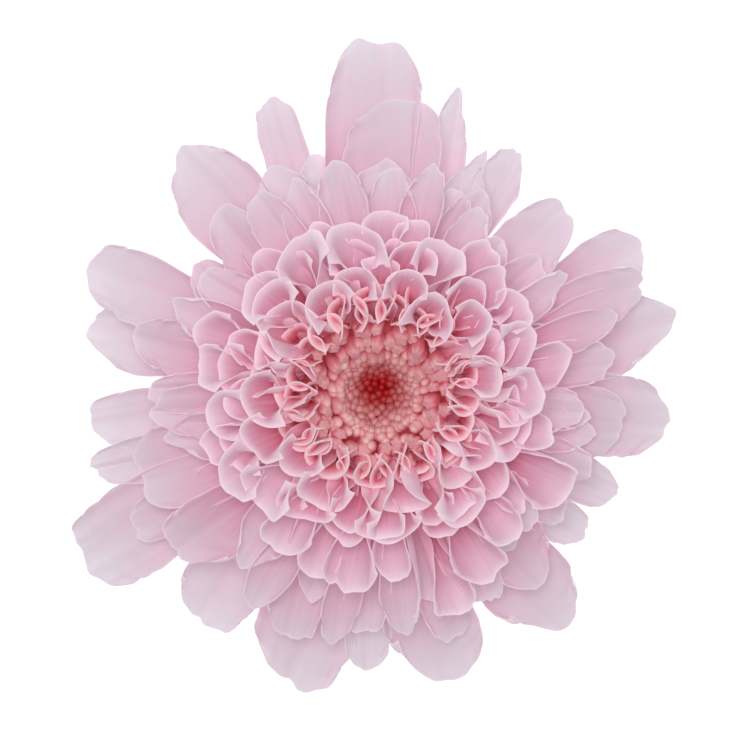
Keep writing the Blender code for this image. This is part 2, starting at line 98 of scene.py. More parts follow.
def srgb(red: int, green: int, blue: int) -> Triple:
    """A linear colour from its 0 to 255 screen values.

    Args:
        red: Red value on a screen.
        green: Green value on a screen.
        blue: Blue value on a screen.

    Returns:
        The three linear values.
    """
    shares = [value / 255 for value in (red, green, blue)]
    return tuple(s / 12.92 if s <= 0.04045 else ((s + 0.055) / 1.055) ** 2.4 for s in shares)


class Wire:
    """A socket of a material's nodes that Python's operators can do maths on."""

    def __init__(self, graph: "Graph", socket: bpy.types.NodeSocket) -> None:
        """Keeps the socket with the graph that it belongs to."""
        self.graph = graph
        self.socket = socket

    def __add__(self, other: "Wire | float") -> "Wire":
        """Sum of this value and another."""
        return self.graph.maths("ADD", self, other)

    def __radd__(self, other: float) -> "Wire":
        """Sum of a number and this value."""
        return self.graph.maths("ADD", other, self)

    def __sub__(self, other: "Wire | float") -> "Wire":
        """This value less another."""
        return self.graph.maths("SUBTRACT", self, other)

    def __rsub__(self, other: float) -> "Wire":
        """A number less this value."""
        return self.graph.maths("SUBTRACT", other, self)

    def __mul__(self, other: "Wire | float") -> "Wire":
        """Product of this value and another."""
        return self.graph.maths("MULTIPLY", self, other)

    def __rmul__(self, other: float) -> "Wire":
        """Product of a number and this value."""
        return self.graph.maths("MULTIPLY", other, self)

    def __abs__(self) -> "Wire":
        """This value without its sign."""
        return self.graph.maths("ABSOLUTE", self, 0.0)


class Graph:
    """The nodes of one material, with a Principled shader at their end."""

    def __init__(self, name: str) -> None:
        """Starts a material with its shader and output alone.

        Args:
            name: Name of the material.
        """
        self.material = bpy.data.materials.new(name)
        self.material.use_nodes = True
        self.nodes = self.material.node_tree.nodes
        self.links = self.material.node_tree.links
        self.shader = self.nodes["Principled BSDF"]

    def node(self, kind: str, settings: dict[str, Any], inputs: dict[Any, Any], output: Any = 0) -> Wire:
        """Adds one node.

        Args:
            kind: The node's type, without its ShaderNode prefix.
            settings: Properties set first; stops gives a ramp its (place, colour) pairs.
            inputs: Values or wires by the name or number of the input.
            output: Name or number of the output that is returned.

        Returns:
            The chosen output.
        """
        made = self.nodes.new("ShaderNode" + kind)
        for key, value in settings.items():
            if key == "stops":
                self._set_stops(made.color_ramp, value)
            else:
                setattr(made, key, value)
        for key, value in inputs.items():
            self.plug(made.inputs[key], value)
        return Wire(self, made.outputs[output])

    def plug(self, socket: bpy.types.NodeSocket, value: Any) -> None:
        """Links a wire to an input, or sets the input's own value.

        Args:
            socket: The input.
            value: A wire, a number or a colour of three values.
        """
        if isinstance(value, Wire):
            self.links.new(value.socket, socket)
        elif socket.type == "RGBA" and len(value) == 3:
            socket.default_value = (*value, 1.0)
        else:
            socket.default_value = value

    def maths(self, operation: str, first: "Wire | float", second: "Wire | float") -> Wire:
        """One Math node on two values.

        Args:
            operation: Name of the node's operation.
            first: First value.
            second: Second value.

        Returns:
            The result.
        """
        return self.node("Math", {"operation": operation}, {0: first, 1: second})

    def mix(self, factor: "Wire | float", first: Any, second: Any) -> Wire:
        """A blend of two colours.

        Args:
            factor: Share of the second colour.
            first: A wire or a colour.
            second: A wire or a colour.

        Returns:
            The blended colour.
        """
        return self.node("Mix", {"data_type": "RGBA"}, {0: factor, 6: first, 7: second}, 2)

    def place(self) -> Wire:
        """Place on the piece in metres."""
        return self.node("TexCoord", {}, {}, "Object")

    def attribute(self, name: str) -> Wire:
        """The value that a mesh keeps at its points under a name."""
        return self.node("Attribute", {"attribute_name": name}, {}, "Fac")

    def noise(self, place: Wire, scale: float, detail: float) -> Wire:
        """Soft irregular spots.

        Args:
            place: What the spots are laid over.
            scale: Spots for each unit of it.
            detail: How many finer layers of spots are added.

        Returns:
            Values round one half.
        """
        return self.node("TexNoise", {}, {"Vector": place, "Scale": scale, "Detail": detail})

    def bump(self, height: Wire, strength: float, distance: float) -> Wire:
        """A relief on the surface.

        Args:
            height: Its height, 0 to 1.
            strength: How much of it shows.
            distance: Height that 1 stands for, in metres.

        Returns:
            The surface's normal with the relief.
        """
        return self.node("Bump", {}, {"Strength": strength, "Distance": distance, "Height": height})

    def smooth(self, value: Wire, low: float, high: float) -> Wire:
        """A soft step of a value from 0 at low to 1 at high.

        Args:
            value: The value.
            low: Where the step starts.
            high: Where the step ends.

        Returns:
            The step, 0 to 1.
        """
        settings = {"interpolation_type": "SMOOTHSTEP"}
        return self.node("MapRange", settings, {"Value": value, "From Min": low, "From Max": high})

    def shade(self, **inputs: Any) -> bpy.types.Material:
        """Feeds the Principled shader.

        Args:
            **inputs: Values or wires by input name, with _ for each space.

        Returns:
            The finished material.
        """
        for key, value in inputs.items():
            self.plug(self.shader.inputs[key.replace("_", " ")], value)
        return self.material

    @staticmethod
    def _set_stops(ramp: bpy.types.ColorRamp, stops: tuple[tuple[float, Triple], ...]) -> None:
        """Gives a colour ramp its stops.

        Args:
            ramp: The ramp.
            stops: Place and colour of each stop, in order.
        """
        for number, (place, colour) in enumerate(stops):
            stop = ramp.elements[number] if number < 2 else ramp.elements.new(place)
            stop.position = place
            stop.color = (*colour, 1.0)


class Bench:
    """Steps that every piece shares, done with Blender's own operators."""

    @staticmethod
    def clear_selection() -> None:
        """Leaves edit mode and deselects everything."""
        if bpy.context.mode != "OBJECT":
            bpy.ops.object.mode_set(mode="OBJECT")
        bpy.ops.object.select_all(action="DESELECT")

    @staticmethod
    def take(obj: bpy.types.Object) -> bpy.types.Object:
        """Selects one object alone and makes it active.

        Args:
            obj: The object.

        Returns:
            The same object.
        """
        Bench.clear_selection()
        obj.select_set(True)
        bpy.context.view_layer.objects.active = obj
        return obj

    @staticmethod
    def copy(stock: bpy.types.Object, name: str) -> bpy.types.Object:
        """A copy of an object with a mesh of its own.

        Args:
            stock: What is copied.
            name: Name of the copy.

        Returns:
            The copy.
        """
        made = stock.copy()
        made.data = stock.data.copy()
        made.name = name
        bpy.context.scene.collection.objects.link(made)
        return made

    @staticmethod
    def join(parts: list[bpy.types.Object], name: str) -> bpy.types.Object:
        """Joins objects into one.

        Args:
            parts: The objects; the first one stays.
            name: Name of the joined object.

        Returns:
            The joined object.
        """
        Bench.clear_selection()
        for part in parts:
            part.select_set(True)
        bpy.context.view_layer.objects.active = parts[0]
        bpy.ops.object.join()
        parts[0].name = name
        parts[0].data.name = name
        return parts[0]

    @staticmethod
    def apply(obj: bpy.types.Object, modifier: str, **settings: Any) -> None:
        """Adds a modifier and applies it.

        Args:
            obj: The object.
            modifier: The modifier's type.
            **settings: Its properties.
        """
        Bench.take(obj)
        added = obj.modifiers.new(modifier.title(), modifier)
        for key, value in settings.items():
            setattr(added, key, value)
        bpy.ops.object.modifier_apply(modifier=added.name)

    @staticmethod
    def settle(obj: bpy.types.Object) -> None:
        """Moves an object's place, turn and scale into its mesh."""
        Bench.take(obj)
        bpy.ops.object.transform_apply(location=True, rotation=True, scale=True)

    @staticmethod
    def smooth(obj: bpy.types.Object, angle: float = 180.0) -> None:
        """Shades an object smooth up to an angle between faces, in degrees."""
        Bench.take(obj)
        bpy.ops.object.shade_smooth_by_angle(angle=math.radians(angle))

    @staticmethod
    def grid(cells: tuple[int, int]) -> bpy.types.Object:
        """A flat sheet from -1 to 1 both ways, with its own map.

        Args:
            cells: Faces along and across it.

        Returns:
            The sheet.
        """
        Bench.clear_selection()
        bpy.ops.mesh.primitive_grid_add(x_subdivisions=cells[1], y_subdivisions=cells[0], size=2.0)
        return bpy.context.object

    @staticmethod
    def turned(name: str, profile: Profile, sides: int) -> bpy.types.Object:
        """A turned solid, drawn up ring by ring from a filled circle.

        Args:
            name: Name of the object.
            profile: Radius and height of each ring, from the bottom one on.
            sides: Number of sides of each ring.

        Returns:
            The closed solid.
        """
        Bench.clear_selection()
        radius, height = profile[0]
        bpy.ops.mesh.primitive_circle_add(
            vertices=sides, radius=radius * MM, fill_type="NGON", location=(0, 0, height * MM)
        )
        made = bpy.context.object
        made.name = name
        bpy.ops.object.mode_set(mode="EDIT")
        bpy.ops.mesh.select_all(action="SELECT")
        for next_radius, next_height in profile[1:]:
            move = {"value": (0, 0, (next_height - height) * MM)}
            bpy.ops.mesh.extrude_region_move(TRANSFORM_OT_translate=move)
            ratio = next_radius / radius
            centre = (0, 0, next_height * MM)
            bpy.ops.transform.resize(value=(ratio, ratio, 1), center_override=centre)
            radius, height = next_radius, next_height
        bpy.ops.mesh.select_all(action="SELECT")
        bpy.ops.mesh.normals_make_consistent(inside=False)
        bpy.ops.object.mode_set(mode="OBJECT")
        Bench.settle(made)
        return made

    @staticmethod
    def points(mesh: bpy.types.Mesh) -> Grid:
        """A mesh's points.

        Args:
            mesh: The mesh.

        Returns:
            One row of three for each point, in the mesh's own units.
        """
        flat = np.empty(len(mesh.vertices) * 3)
        mesh.vertices.foreach_get("co", flat)
        return flat.reshape(-1, 3)

    @staticmethod
    def set_points(mesh: bpy.types.Mesh, points: Grid) -> None:
        """Moves a mesh's points to the given rows of three."""
        mesh.vertices.foreach_set("co", points.ravel())
        mesh.update()

    @staticmethod
    def mark(mesh: bpy.types.Mesh, name: str, values: Grid) -> None:
        """Keeps one value for each point in a named attribute.

        Args:
            mesh: The mesh.
            name: Name of the attribute.
            values: One value for each point.
        """
        attribute = mesh.attributes.get(name) or mesh.attributes.new(name, "FLOAT", "POINT")
        attribute.data.foreach_set("value", values.astype(np.float32))


@dataclass(frozen=True)
class PetalFinish:
    """Satin petal whose colour runs from its root to its tip, with a paler margin.

    Attributes:
        name: Name of the material.
        inner: Place along the blade and colour of its inner face.
        outer: The same for its outer face.
        rim: Colour of the margin.
        rim_start: How far out the margin's pale band starts, as a share of the half width.
        rim_width: The same at the tip, in millimetres.
        rim_share: How much of the rim's colour the margin takes.
        reach: Distance from the tip, in millimetres, over which the colours run.
        streak: Colour of the soft lengthwise streaks.
        vein_depth: Height of the veins' bump in metres.
    """

    name: str
    inner: tuple[tuple[float, Triple], ...]
    outer: tuple[tuple[float, Triple], ...]
    rim: Triple
    rim_start: float
    rim_width: float
    rim_share: float
    reach: float
    streak: Triple
    vein_depth: float = 0.00005

    BLOTCHES: ClassVar[float] = 260.0  # to the metre
    GRAIN: ClassVar[float] = 5200.0  # to the metre
    VEINS: ClassVar[Triple] = (26.0, 1.3, 1.0)  # across and along the blade
    STREAKS: ClassVar[Triple] = (6.0, 0.7, 1.0)  # across and along the blade
    VEIN_SHARE: ClassVar[float] = 0.14
    STREAK_SHARE: ClassVar[float] = 0.22
    # how much of the rim's colour the painted glow takes at the thin margins and tip
    EDGE_GLOW_SHARE: ClassVar[float] = 0.55

    def build(self) -> bpy.types.Material:
        """Makes the material from the blade's own map and attributes.

        Returns:
            The material.
        """
        graph = Graph(self.name)
        place = graph.place()
        blade_map = graph.node("UVMap", {}, {})
        across = graph.node("SeparateXYZ", {}, {0: blade_map}, "X")
        side = abs(across * 2.0 - 1.0)
        vein = self._lengthwise(graph, blade_map, self.VEINS, 2.0)
        streak = self._lengthwise(graph, blade_map, self.STREAKS, 1.0)
        grain = graph.noise(place, self.GRAIN, 2.0)

        streaks = graph.smooth(streak + graph.attribute("tone") * 0.04, 0.45, 0.75) * self.STREAK_SHARE
        streaked = graph.mix(streaks, self._face(graph, place), self.streak)
        veined = graph.mix(graph.smooth(vein, 0.42, 0.62) * self.VEIN_SHARE, streaked, self.rim)
        colour = graph.mix(self._margin(graph, side) * self.rim_share, veined, self.rim)
        # Painted glow: the petal gives off a dimmed copy of its colour as light, paler towards the rim's
        # colour at its thin margins and tip
        glow_colour = graph.mix(PAINTED_GLOW_DIMMING, colour, BLACK)
        return graph.shade(
            Base_Color=colour,
            Roughness=0.42 + vein * 0.16 + grain * 0.06,
            Normal=graph.bump(vein + grain * 0.12, 0.55, self.vein_depth),
            Subsurface_Weight=0.35,
            Subsurface_Radius=(1.0, 0.75, 0.8),
            Subsurface_Scale=0.0003,
            Specular_IOR_Level=0.28,
            Sheen_Weight=0.10,
            Sheen_Roughness=0.5,
            Emission_Color=graph.mix(self._glowing_edge(graph, side) * self.EDGE_GLOW_SHARE, glow_colour, self.rim),
            Emission_Strength=PAINTED_GLOW_STRENGTH,
        )

    @staticmethod
    def _lengthwise(graph: Graph, blade_map: Wire, cells: Triple, detail: float) -> Wire:
        """Noise drawn out along the blade, with so many cells across and along it."""
        stretched = graph.node("Mapping", {}, {"Vector": blade_map, "Scale": cells})
        return graph.noise(stretched, 1.0, detail)

    def _face(self, graph: Graph, place: Wire) -> Wire:
        """Colour of the inner and the outer face, from the root's to the tip's.

        Args:
            graph: The material's nodes.
            place: Place on the piece.

        Returns:
            The colour.
        """
        blotch = graph.noise(place, self.BLOTCHES, 3.0)
        inward = graph.attribute("inward") * (1.0 / self.reach)
        along = 1.0 - inward + graph.attribute("tone") * 0.05 + (blotch - 0.5) * 0.10
        inner = graph.node("ValToRGB", {"stops": self.inner}, {"Fac": along})
        outer = graph.node("ValToRGB", {"stops": self.outer}, {"Fac": along})
        return graph.mix(graph.attribute("underside"), inner, outer)

    def _margin(self, graph: Graph, side: Wire) -> Wire:
        """How much of the rim's colour a point takes: near the tip, and along the margins.

        Args:
            graph: The material's nodes.
            side: 0 in the blade's middle and 1 at either margin.

        Returns:
            A share.
        """
        edge = graph.smooth(side, self.rim_start, 1.0)
        nearer = 1.0 - graph.smooth(graph.attribute("inward"), self.reach * 0.45, self.reach * 0.9)
        tip_edge = 1.0 - graph.smooth(graph.attribute("from_end"), 0.0, self.rim_width)
        return graph.maths("MAXIMUM", edge * nearer, tip_edge)

    @staticmethod
    def _glowing_edge(graph: Graph, side: Wire) -> Wire:
        """Where the blade's painted glow takes the rim's colour, standing in for light that passes its
        thin edge: its last few tenths of a millimetre.

        Args:
            graph: The material's nodes.
            side: 0 in the blade's middle and 1 at either margin.

        Returns:
            1 where it is.
        """
        glow_side = graph.smooth(side, 0.90, 0.99)
        glow_tip = 1.0 - graph.smooth(graph.attribute("from_end"), 0.05, 0.4)
        return graph.maths("MAXIMUM", glow_side, glow_tip)


OUTER_FINISH = PetalFinish(
    name="outer petal",
    inner=(
        (0.0, srgb(222, 150, 176)),
        (0.35, srgb(226, 180, 200)),
        (0.62, srgb(229, 201, 216)),
        (0.85, srgb(229, 216, 225)),
        (1.0, srgb(230, 225, 231)),
    ),
    outer=(
        (0.0, srgb(228, 184, 202)),
        (0.5, srgb(232, 209, 220)),
        (1.0, srgb(234, 230, 234)),
    ),
    rim=srgb(226, 212, 221),
    rim_start=0.85,
    rim_width=1.0,
    rim_share=0.3,
    reach=30.0,
    streak=srgb(220, 160, 184),
)

SECOND_FINISH = PetalFinish(
    name="second petal",
    inner=(
        (0.0, srgb(212, 117, 143)),
        (0.35, srgb(220, 154, 177)),
        (0.62, srgb(224, 181, 199)),
        (0.85, srgb(226, 200, 214)),
        (1.0, srgb(227, 213, 222)),
    ),
    outer=(
        (0.0, srgb(224, 163, 183)),
        (0.5, srgb(228, 195, 208)),
        (1.0, srgb(231, 219, 226)),
    ),
    rim=srgb(234, 214, 224),
    rim_start=0.80,
    rim_width=0.9,
    rim_share=0.36,
    reach=20.0,
    streak=srgb(216, 146, 172),
)

SPOON_FINISH = PetalFinish(
    name="spoon petal",
    inner=(
        (0.0, srgb(198, 82, 108)),
        (0.30, srgb(208, 121, 148)),
        (0.55, srgb(217, 158, 181)),
        (0.80, srgb(226, 189, 206)),
        (1.0, srgb(233, 214, 223)),
    ),
    outer=(
        (0.0, srgb(217, 140, 165)),
        (0.5, srgb(226, 181, 200)),
        (1.0, srgb(237, 220, 227)),
    ),
    rim=srgb(241, 218, 229),
    rim_start=0.60,
    rim_width=1.1,
    rim_share=0.75,
    reach=12.0,
    streak=srgb(216, 138, 164),
)

CUPPED_FINISH = PetalFinish(
    name="cupped petal",
    inner=(
        (0.0, srgb(188, 51, 74)),
        (0.30, srgb(202, 92, 121)),
        (0.55, srgb(215, 134, 161)),
        (0.80, srgb(227, 176, 197)),
        (1.0, srgb(235, 208, 221)),
    ),
    outer=(
        (0.0, srgb(216, 123, 151)),
        (0.5, srgb(227, 170, 192)),
        (1.0, srgb(238, 212, 223)),
    ),
    rim=srgb(246, 222, 231),
    rim_start=0.55,
    rim_width=1.2,
    rim_share=0.8,
    reach=9.0,
    streak=srgb(220, 130, 156),
)

QUILL_FINISH = PetalFinish(
    name="quilled petal",
    inner=(
        (0.0, srgb(178, 24, 36)),
        (0.35, srgb(196, 58, 74)),
        (0.65, srgb(216, 108, 128)),
        (0.85, srgb(233, 164, 180)),
        (1.0, srgb(241, 200, 210)),
    ),
    outer=(
        (0.0, srgb(216, 116, 141)),
        (0.5, srgb(228, 163, 181)),
        (1.0, srgb(238, 206, 215)),
    ),
    rim=srgb(248, 221, 227),
    rim_start=0.5,
    rim_width=0.9,
    rim_share=0.75,
    reach=4.2,
    streak=srgb(222, 122, 142),
)


@dataclass(frozen=True)
class Form:
    """Outline and section of one kind of ray floret.

    Attributes:
        widest: How far along it is widest.
        tip: Width at the tip's shoulders, as a share of the widest.
        shoulder: How far the shoulders fall back, in half widths.
        arcs: Degrees that the solid's section turns through at root, middle and tip.
        point: 0 for a round tip, 1 for a pointed one.
        cut: How far the finished shoulders fall back, in half widths.
        body: Width at the root, and where the finished blade has its full width.
        opening: Distance from the tip in millimetres, and degrees of the finished section there.
        margin: Degrees that each margin turns in past the section's arc.
        bowl: How far the finished tip turns up, in millimetres.
        teeth: Depth of the edge's small teeth in millimetres.
        crease: Height of the lengthwise folds in millimetres.
        root: Width at the root, as a share of the widest.
        lip: How far the solid's tip turns up, in millimetres.
        flare: Degrees that the edge turns out again.
        mouth: How much wider than the tube its mouth is, as a share.
    """

    widest: float
    tip: float
    shoulder: float
    arcs: Triple
    point: float
    cut: float
    body: Pair
    opening: tuple[Pair, ...]
    margin: float
    bowl: float
    teeth: float
    crease: float
    root: float = 0.13
    lip: float = 0.0
    flare: float = 0.0
    mouth: float = 0.0


class Kind(Enum):
    """The kinds of ray floret."""

    BROAD = Form(
        widest=0.70,
        tip=0.72,
        shoulder=0.50,
        arcs=(110, 44, 34),
        point=0.15,
        cut=1.0,
        body=(0.34, 0.52),
        opening=((0, 34), (9, 48), (18, 95), (27, 190)),
        margin=10,
        bowl=0.0,
        teeth=0.6,
        crease=0.38,
    )
    ROUND = Form(
        widest=0.70,
        tip=0.64,
        shoulder=0.70,
        arcs=(110, 56, 60),
        lip=0.5,
        point=0.28,
        cut=1.2,
        body=(0.34, 0.52),
        opening=((0, 60), (7, 74), (14, 125), (22, 230)),
        margin=18,
        bowl=0.5,
        flare=10,
        teeth=0.5,
        crease=0.30,
    )
    OBTUSE = Form(
        widest=0.66,
        tip=0.50,
        shoulder=0.80,
        arcs=(110, 56, 60),
        point=0.45,
        cut=1.3,
        body=(0.34, 0.52),
        opening=((0, 60), (7, 62), (14, 105), (22, 210)),
        margin=8,
        bowl=0.2,
        teeth=0.5,
        crease=0.34,
    )
    POINTED = Form(
        widest=0.62,
        tip=0.26,
        shoulder=0.80,
        arcs=(110, 60, 70),
        point=0.8,
        cut=1.3,
        body=(0.34, 0.48),
        opening=((0, 80), (7, 66), (15, 120), (24, 230)),
        margin=8,
        bowl=0.2,
        teeth=0.15,
        crease=0.1,
    )
    FOLDED = Form(
        root=0.15,
        widest=0.62,
        tip=0.34,
        shoulder=0.80,
        arcs=(130, 110, 100),
        point=0.6,
        cut=1.3,
        body=(0.5, 0.45),
        opening=((0, 110), (5, 130), (10, 190), (16, 280)),
        margin=26,
        bowl=0.3,
        flare=20,
        mouth=0.05,
        teeth=0.2,
        crease=0.06,
    )
    SPOON = Form(
        root=0.16,
        widest=0.70,
        tip=0.70,
        shoulder=0.60,
        arcs=(150, 100, 90),
        lip=1.0,
        point=0.34,
        cut=1.15,
        body=(0.7, 0.35),
        opening=((0, 112), (2.0, 150), (4.5, 205), (7.0, 280), (9.0, 335)),
        margin=24,
        bowl=2.0,
        flare=40,
        mouth=0.12,
        teeth=0.35,
        crease=0.05,
    )
    CUP = Form(
        root=0.20,
        widest=0.70,
        tip=0.76,
        shoulder=0.55,
        arcs=(160, 130, 110),
        lip=1.2,
        point=0.3,
        cut=1.15,
        body=(0.75, 0.35),
        opening=((0, 190), (1.4, 225), (3.0, 270), (4.4, 315), (6.0, 345)),
        margin=14,
        bowl=2.4,
        flare=26,
        mouth=0.3,
        teeth=0.3,
        crease=0.03,
    )
    TUBE = Form(
        root=0.36,
        widest=0.75,
        tip=0.90,
        shoulder=0.30,
        arcs=(200, 180, 150),
        lip=0.2,
        point=0.0,
        cut=0.4,
        body=(0.8, 0.35),
        opening=((0, 300), (1.0, 318), (2.2, 335), (3.4, 348)),
        margin=0,
        bowl=1.0,
        flare=12,
        mouth=0.4,
        teeth=0.25,
        crease=0.02,
    )


@dataclass(frozen=True)
class Floret:
    """One ray floret, placed by its tip as the viewer sees it.

    Attributes:
        angle: Degrees anticlockwise from +X.
        reach: From the heart to the tip.
        width: Its widest.
        kind: Its form.
        lift: How much higher than its neighbours its tip lies.
        sway: Degrees that the root is turned past the tip.
        curls: Degrees that its anticlockwise and clockwise margins turn in beside the form's.
        notch: Depth of the cut in the tip.
        blush: How much pinker than its neighbours it is.
    """

    angle: float
    reach: float
    width: float
    kind: Kind
    lift: float = 0.0
    sway: float = 0.0
    curls: Pair = (0.0, 0.0)
    notch: float = 0.0
    blush: float = 0.0


@dataclass(frozen=True)
class Layer:
    """One layer of ray florets.

    Attributes:
        name: Name of its piece.
        florets: The florets.
        root_radius: How far from the axis they start.
        root_height: Height of their roots.
        root_slope: Degrees above level at the root.
        tip_slope: Degrees above level at the tip.
        tip_height: Height of the tip of a floret with the middle reach.
        middle_reach: That reach.
        fall: Height lost for each millimetre of extra reach.
        solid_cells: Faces along and across the solid's blade.
        cells: Faces along and across the finished blade.
        thickness: Thickness of the blade.
        finish: Its material.
        fuller: How many times as wide as the solid's the finished blade is.
    """

    name: str
    florets: tuple[Floret, ...]
    root_radius: float
    root_height: float
    root_slope: float
    tip_slope: float
    tip_height: float
    middle_reach: float
    fall: float
    solid_cells: tuple[int, int]
    cells: tuple[int, int]
    thickness: float
    finish: PetalFinish
    fuller: float = 1.0


OUTER = Layer(
    name="outer_rays",
    florets=(
        Floret(353.5, 35.9, 9.2, Kind.BROAD, curls=(10, 4)),
        Floret(13.5, 37.3, 9.8, Kind.OBTUSE, -1.0, curls=(30, 6)),
        Floret(22, 34.5, 6.0, Kind.ROUND, 1.6, curls=(4, 24), notch=0.9, blush=3),
        Floret(29, 36.5, 7.1, Kind.ROUND, -0.6),
        Floret(43, 31.2, 7.4, Kind.ROUND, 0.6, blush=2),
        Floret(59.5, 33.0, 5.4, Kind.ROUND),
        Floret(65.5, 31.5, 4.8, Kind.POINTED, 1.0),
        Floret(75, 37.6, 4.8, Kind.POINTED, -0.6),
        Floret(86, 34.8, 10.5, Kind.BROAD, 2.4, curls=(0, 18), blush=5),
        Floret(90, 42.1, 10.2, Kind.BROAD, -0.8, curls=(16, 10)),
        Floret(104, 28.9, 7.1, Kind.ROUND, 0.8),
        Floret(110.5, 37.6, 5.0, Kind.BROAD, -0.6),
        Floret(116, 29.4, 7.1, Kind.ROUND, 1.2, blush=2),
        Floret(129.8, 37.7, 9.8, Kind.OBTUSE, curls=(6, 22)),
        Floret(156.5, 38.0, 7.9, Kind.ROUND, 0.4),
        Floret(168, 36.0, 9.0, Kind.OBTUSE, -0.6, curls=(24, 24)),
        Floret(187, 35.0, 6.4, Kind.ROUND),
        Floret(196, 36.0, 5.2, Kind.OBTUSE, -0.8, curls=(40, 16)),
        Floret(210.5, 41.9, 10.4, Kind.BROAD, curls=(6, 14)),
        Floret(232.2, 35.7, 9.2, Kind.ROUND),
        Floret(253, 38.2, 11.2, Kind.BROAD, -0.4, notch=0.5),
        Floret(267.5, 34.4, 5.4, Kind.ROUND, 1.0),
        Floret(283.5, 36.8, 10.4, Kind.ROUND, -0.4, curls=(0, 30)),
        Floret(308, 37.4, 10.0, Kind.OBTUSE, curls=(34, 34)),
        Floret(324.5, 30.8, 5.2, Kind.ROUND, 1.0),
        Floret(336, 31.7, 5.4, Kind.ROUND),
    ),
    root_radius=6.0,
    root_height=8.8,
    root_slope=12,
    tip_slope=-30,
    tip_height=3.0,
    middle_reach=35,
    fall=0.35,
    solid_cells=(4, 2),
    cells=(44, 22),
    thickness=0.24,
    finish=OUTER_FINISH,
    fuller=1.10,
)

SECOND = Layer(
    name="second_rays",
    florets=(
        Floret(7, 28.5, 5.2, Kind.ROUND, 0.6, curls=(50, 50)),
        Floret(17, 30.0, 4.2, Kind.FOLDED, 1.0),
        Floret(31, 26.4, 3.8, Kind.FOLDED),
        Floret(50, 23.0, 4.6, Kind.ROUND, 0.8, -8),
        Floret(62, 26.8, 5.4, Kind.ROUND),
        Floret(76, 27.6, 4.6, Kind.FOLDED, 1.2),
        Floret(88, 27.6, 7.5, Kind.BROAD, 0.6),
        Floret(101, 27.6, 5.5, Kind.ROUND, -0.4),
        Floret(112, 27.0, 5.2, Kind.FOLDED, 0.8),
        Floret(122, 27.2, 5.4, Kind.ROUND),
        Floret(132, 28.6, 6.5, Kind.ROUND),
        Floret(147, 26.4, 5.5, Kind.ROUND, -0.8),
        Floret(158, 26.5, 5.0, Kind.FOLDED, 0.8),
        Floret(167.5, 30.1, 6.5, Kind.ROUND),
        Floret(181, 27.4, 4.8, Kind.ROUND, 0.8),
        Floret(200, 30.7, 10.6, Kind.BROAD, curls=(4, 70)),
        Floret(210, 34.0, 5.8, Kind.ROUND, -1.6),
        Floret(219, 31.2, 9.0, Kind.ROUND, 0.6),
        Floret(230, 27.0, 6.0, Kind.ROUND, -0.8),
        Floret(240, 30.6, 4.8, Kind.FOLDED, 0.8),
        Floret(250, 32.0, 6.6, Kind.ROUND, curls=(60, 10)),
        Floret(260, 31.5, 4.2, Kind.FOLDED, -0.6),
        Floret(267, 29.5, 5.2, Kind.ROUND, 0.8),
        Floret(276, 30.0, 4.6, Kind.FOLDED, curls=(50, 0)),
        Floret(287, 31.7, 6.0, Kind.ROUND, -0.6),
        Floret(298, 29.0, 5.8, Kind.ROUND, 0.8),
        Floret(310, 31.0, 8.0, Kind.ROUND),
        Floret(326, 27.0, 5.0, Kind.ROUND, 0.6),
        Floret(339, 27.5, 5.0, Kind.ROUND),
        Floret(351, 30.0, 9.0, Kind.BROAD, 0.4),
    ),
    root_radius=6.5,
    root_height=9.5,
    root_slope=30,
    tip_slope=-24,
    tip_height=9.6,
    middle_reach=28.5,
    fall=0.6,
    solid_cells=(3, 2),
    cells=(38, 22),
    thickness=0.24,
    finish=SECOND_FINISH,
    fuller=1.06,
)

THIRD = Layer(
    name="cupped_rays",
    florets=(
        Floret(10, 23.2, 5.4, Kind.SPOON),
        Floret(19, 19.6, 4.6, Kind.CUP, 0.6),
        Floret(31, 20.4, 4.2, Kind.CUP),
        Floret(43, 20.5, 4.6, Kind.SPOON, -0.8),
        Floret(53, 21.7, 4.2, Kind.SPOON, 0.6),
        Floret(66, 19.0, 5.0, Kind.CUP, 0.6),
        Floret(77, 20.5, 3.8, Kind.SPOON, -0.6),
        Floret(87, 21.0, 4.2, Kind.CUP),
        Floret(99, 19.8, 5.4, Kind.CUP, 0.8),
        Floret(110, 21.0, 4.4, Kind.SPOON, -0.6),
        Floret(119, 20.2, 5.2, Kind.CUP, 0.6),
        Floret(130, 21.5, 4.4, Kind.SPOON, -0.8),
        Floret(141, 19.8, 5.2, Kind.CUP),
        Floret(160, 22.9, 5.6, Kind.SPOON),
        Floret(172, 21.4, 4.2, Kind.CUP, 0.6),
        Floret(187, 20.4, 4.8, Kind.CUP),
        Floret(200, 22.0, 4.6, Kind.SPOON, -0.8),
        Floret(211, 21.6, 5.4, Kind.CUP),
        Floret(223, 19.6, 5.4, Kind.CUP, 0.8),
        Floret(237.5, 22.6, 5.6, Kind.SPOON),
        Floret(250, 23.6, 4.6, Kind.SPOON, -0.6),
        Floret(261, 24.4, 6.0, Kind.SPOON, notch=1.1),
        Floret(275, 22.8, 4.2, Kind.SPOON, 0.6),
        Floret(290, 28.6, 4.8, Kind.SPOON, -1.2),
        Floret(301, 26.6, 5.8, Kind.SPOON),
        Floret(312, 24.2, 4.6, Kind.SPOON, 1.0),
        Floret(322, 22.5, 4.2, Kind.SPOON, -0.6),
        Floret(333, 25.8, 6.4, Kind.SPOON),
        Floret(344, 21.6, 4.4, Kind.SPOON, 0.8),
        Floret(352, 25.8, 4.4, Kind.FOLDED, -0.6),
        Floret(1, 19.5, 4.6, Kind.CUP, 0.6),
    ),
    root_radius=7.6,
    root_height=10.3,
    root_slope=50,
    tip_slope=-6,
    tip_height=15.0,
    middle_reach=22.5,
    fall=0.7,
    solid_cells=(3, 2),
    cells=(34, 26),
    thickness=0.22,
    finish=SPOON_FINISH,
)

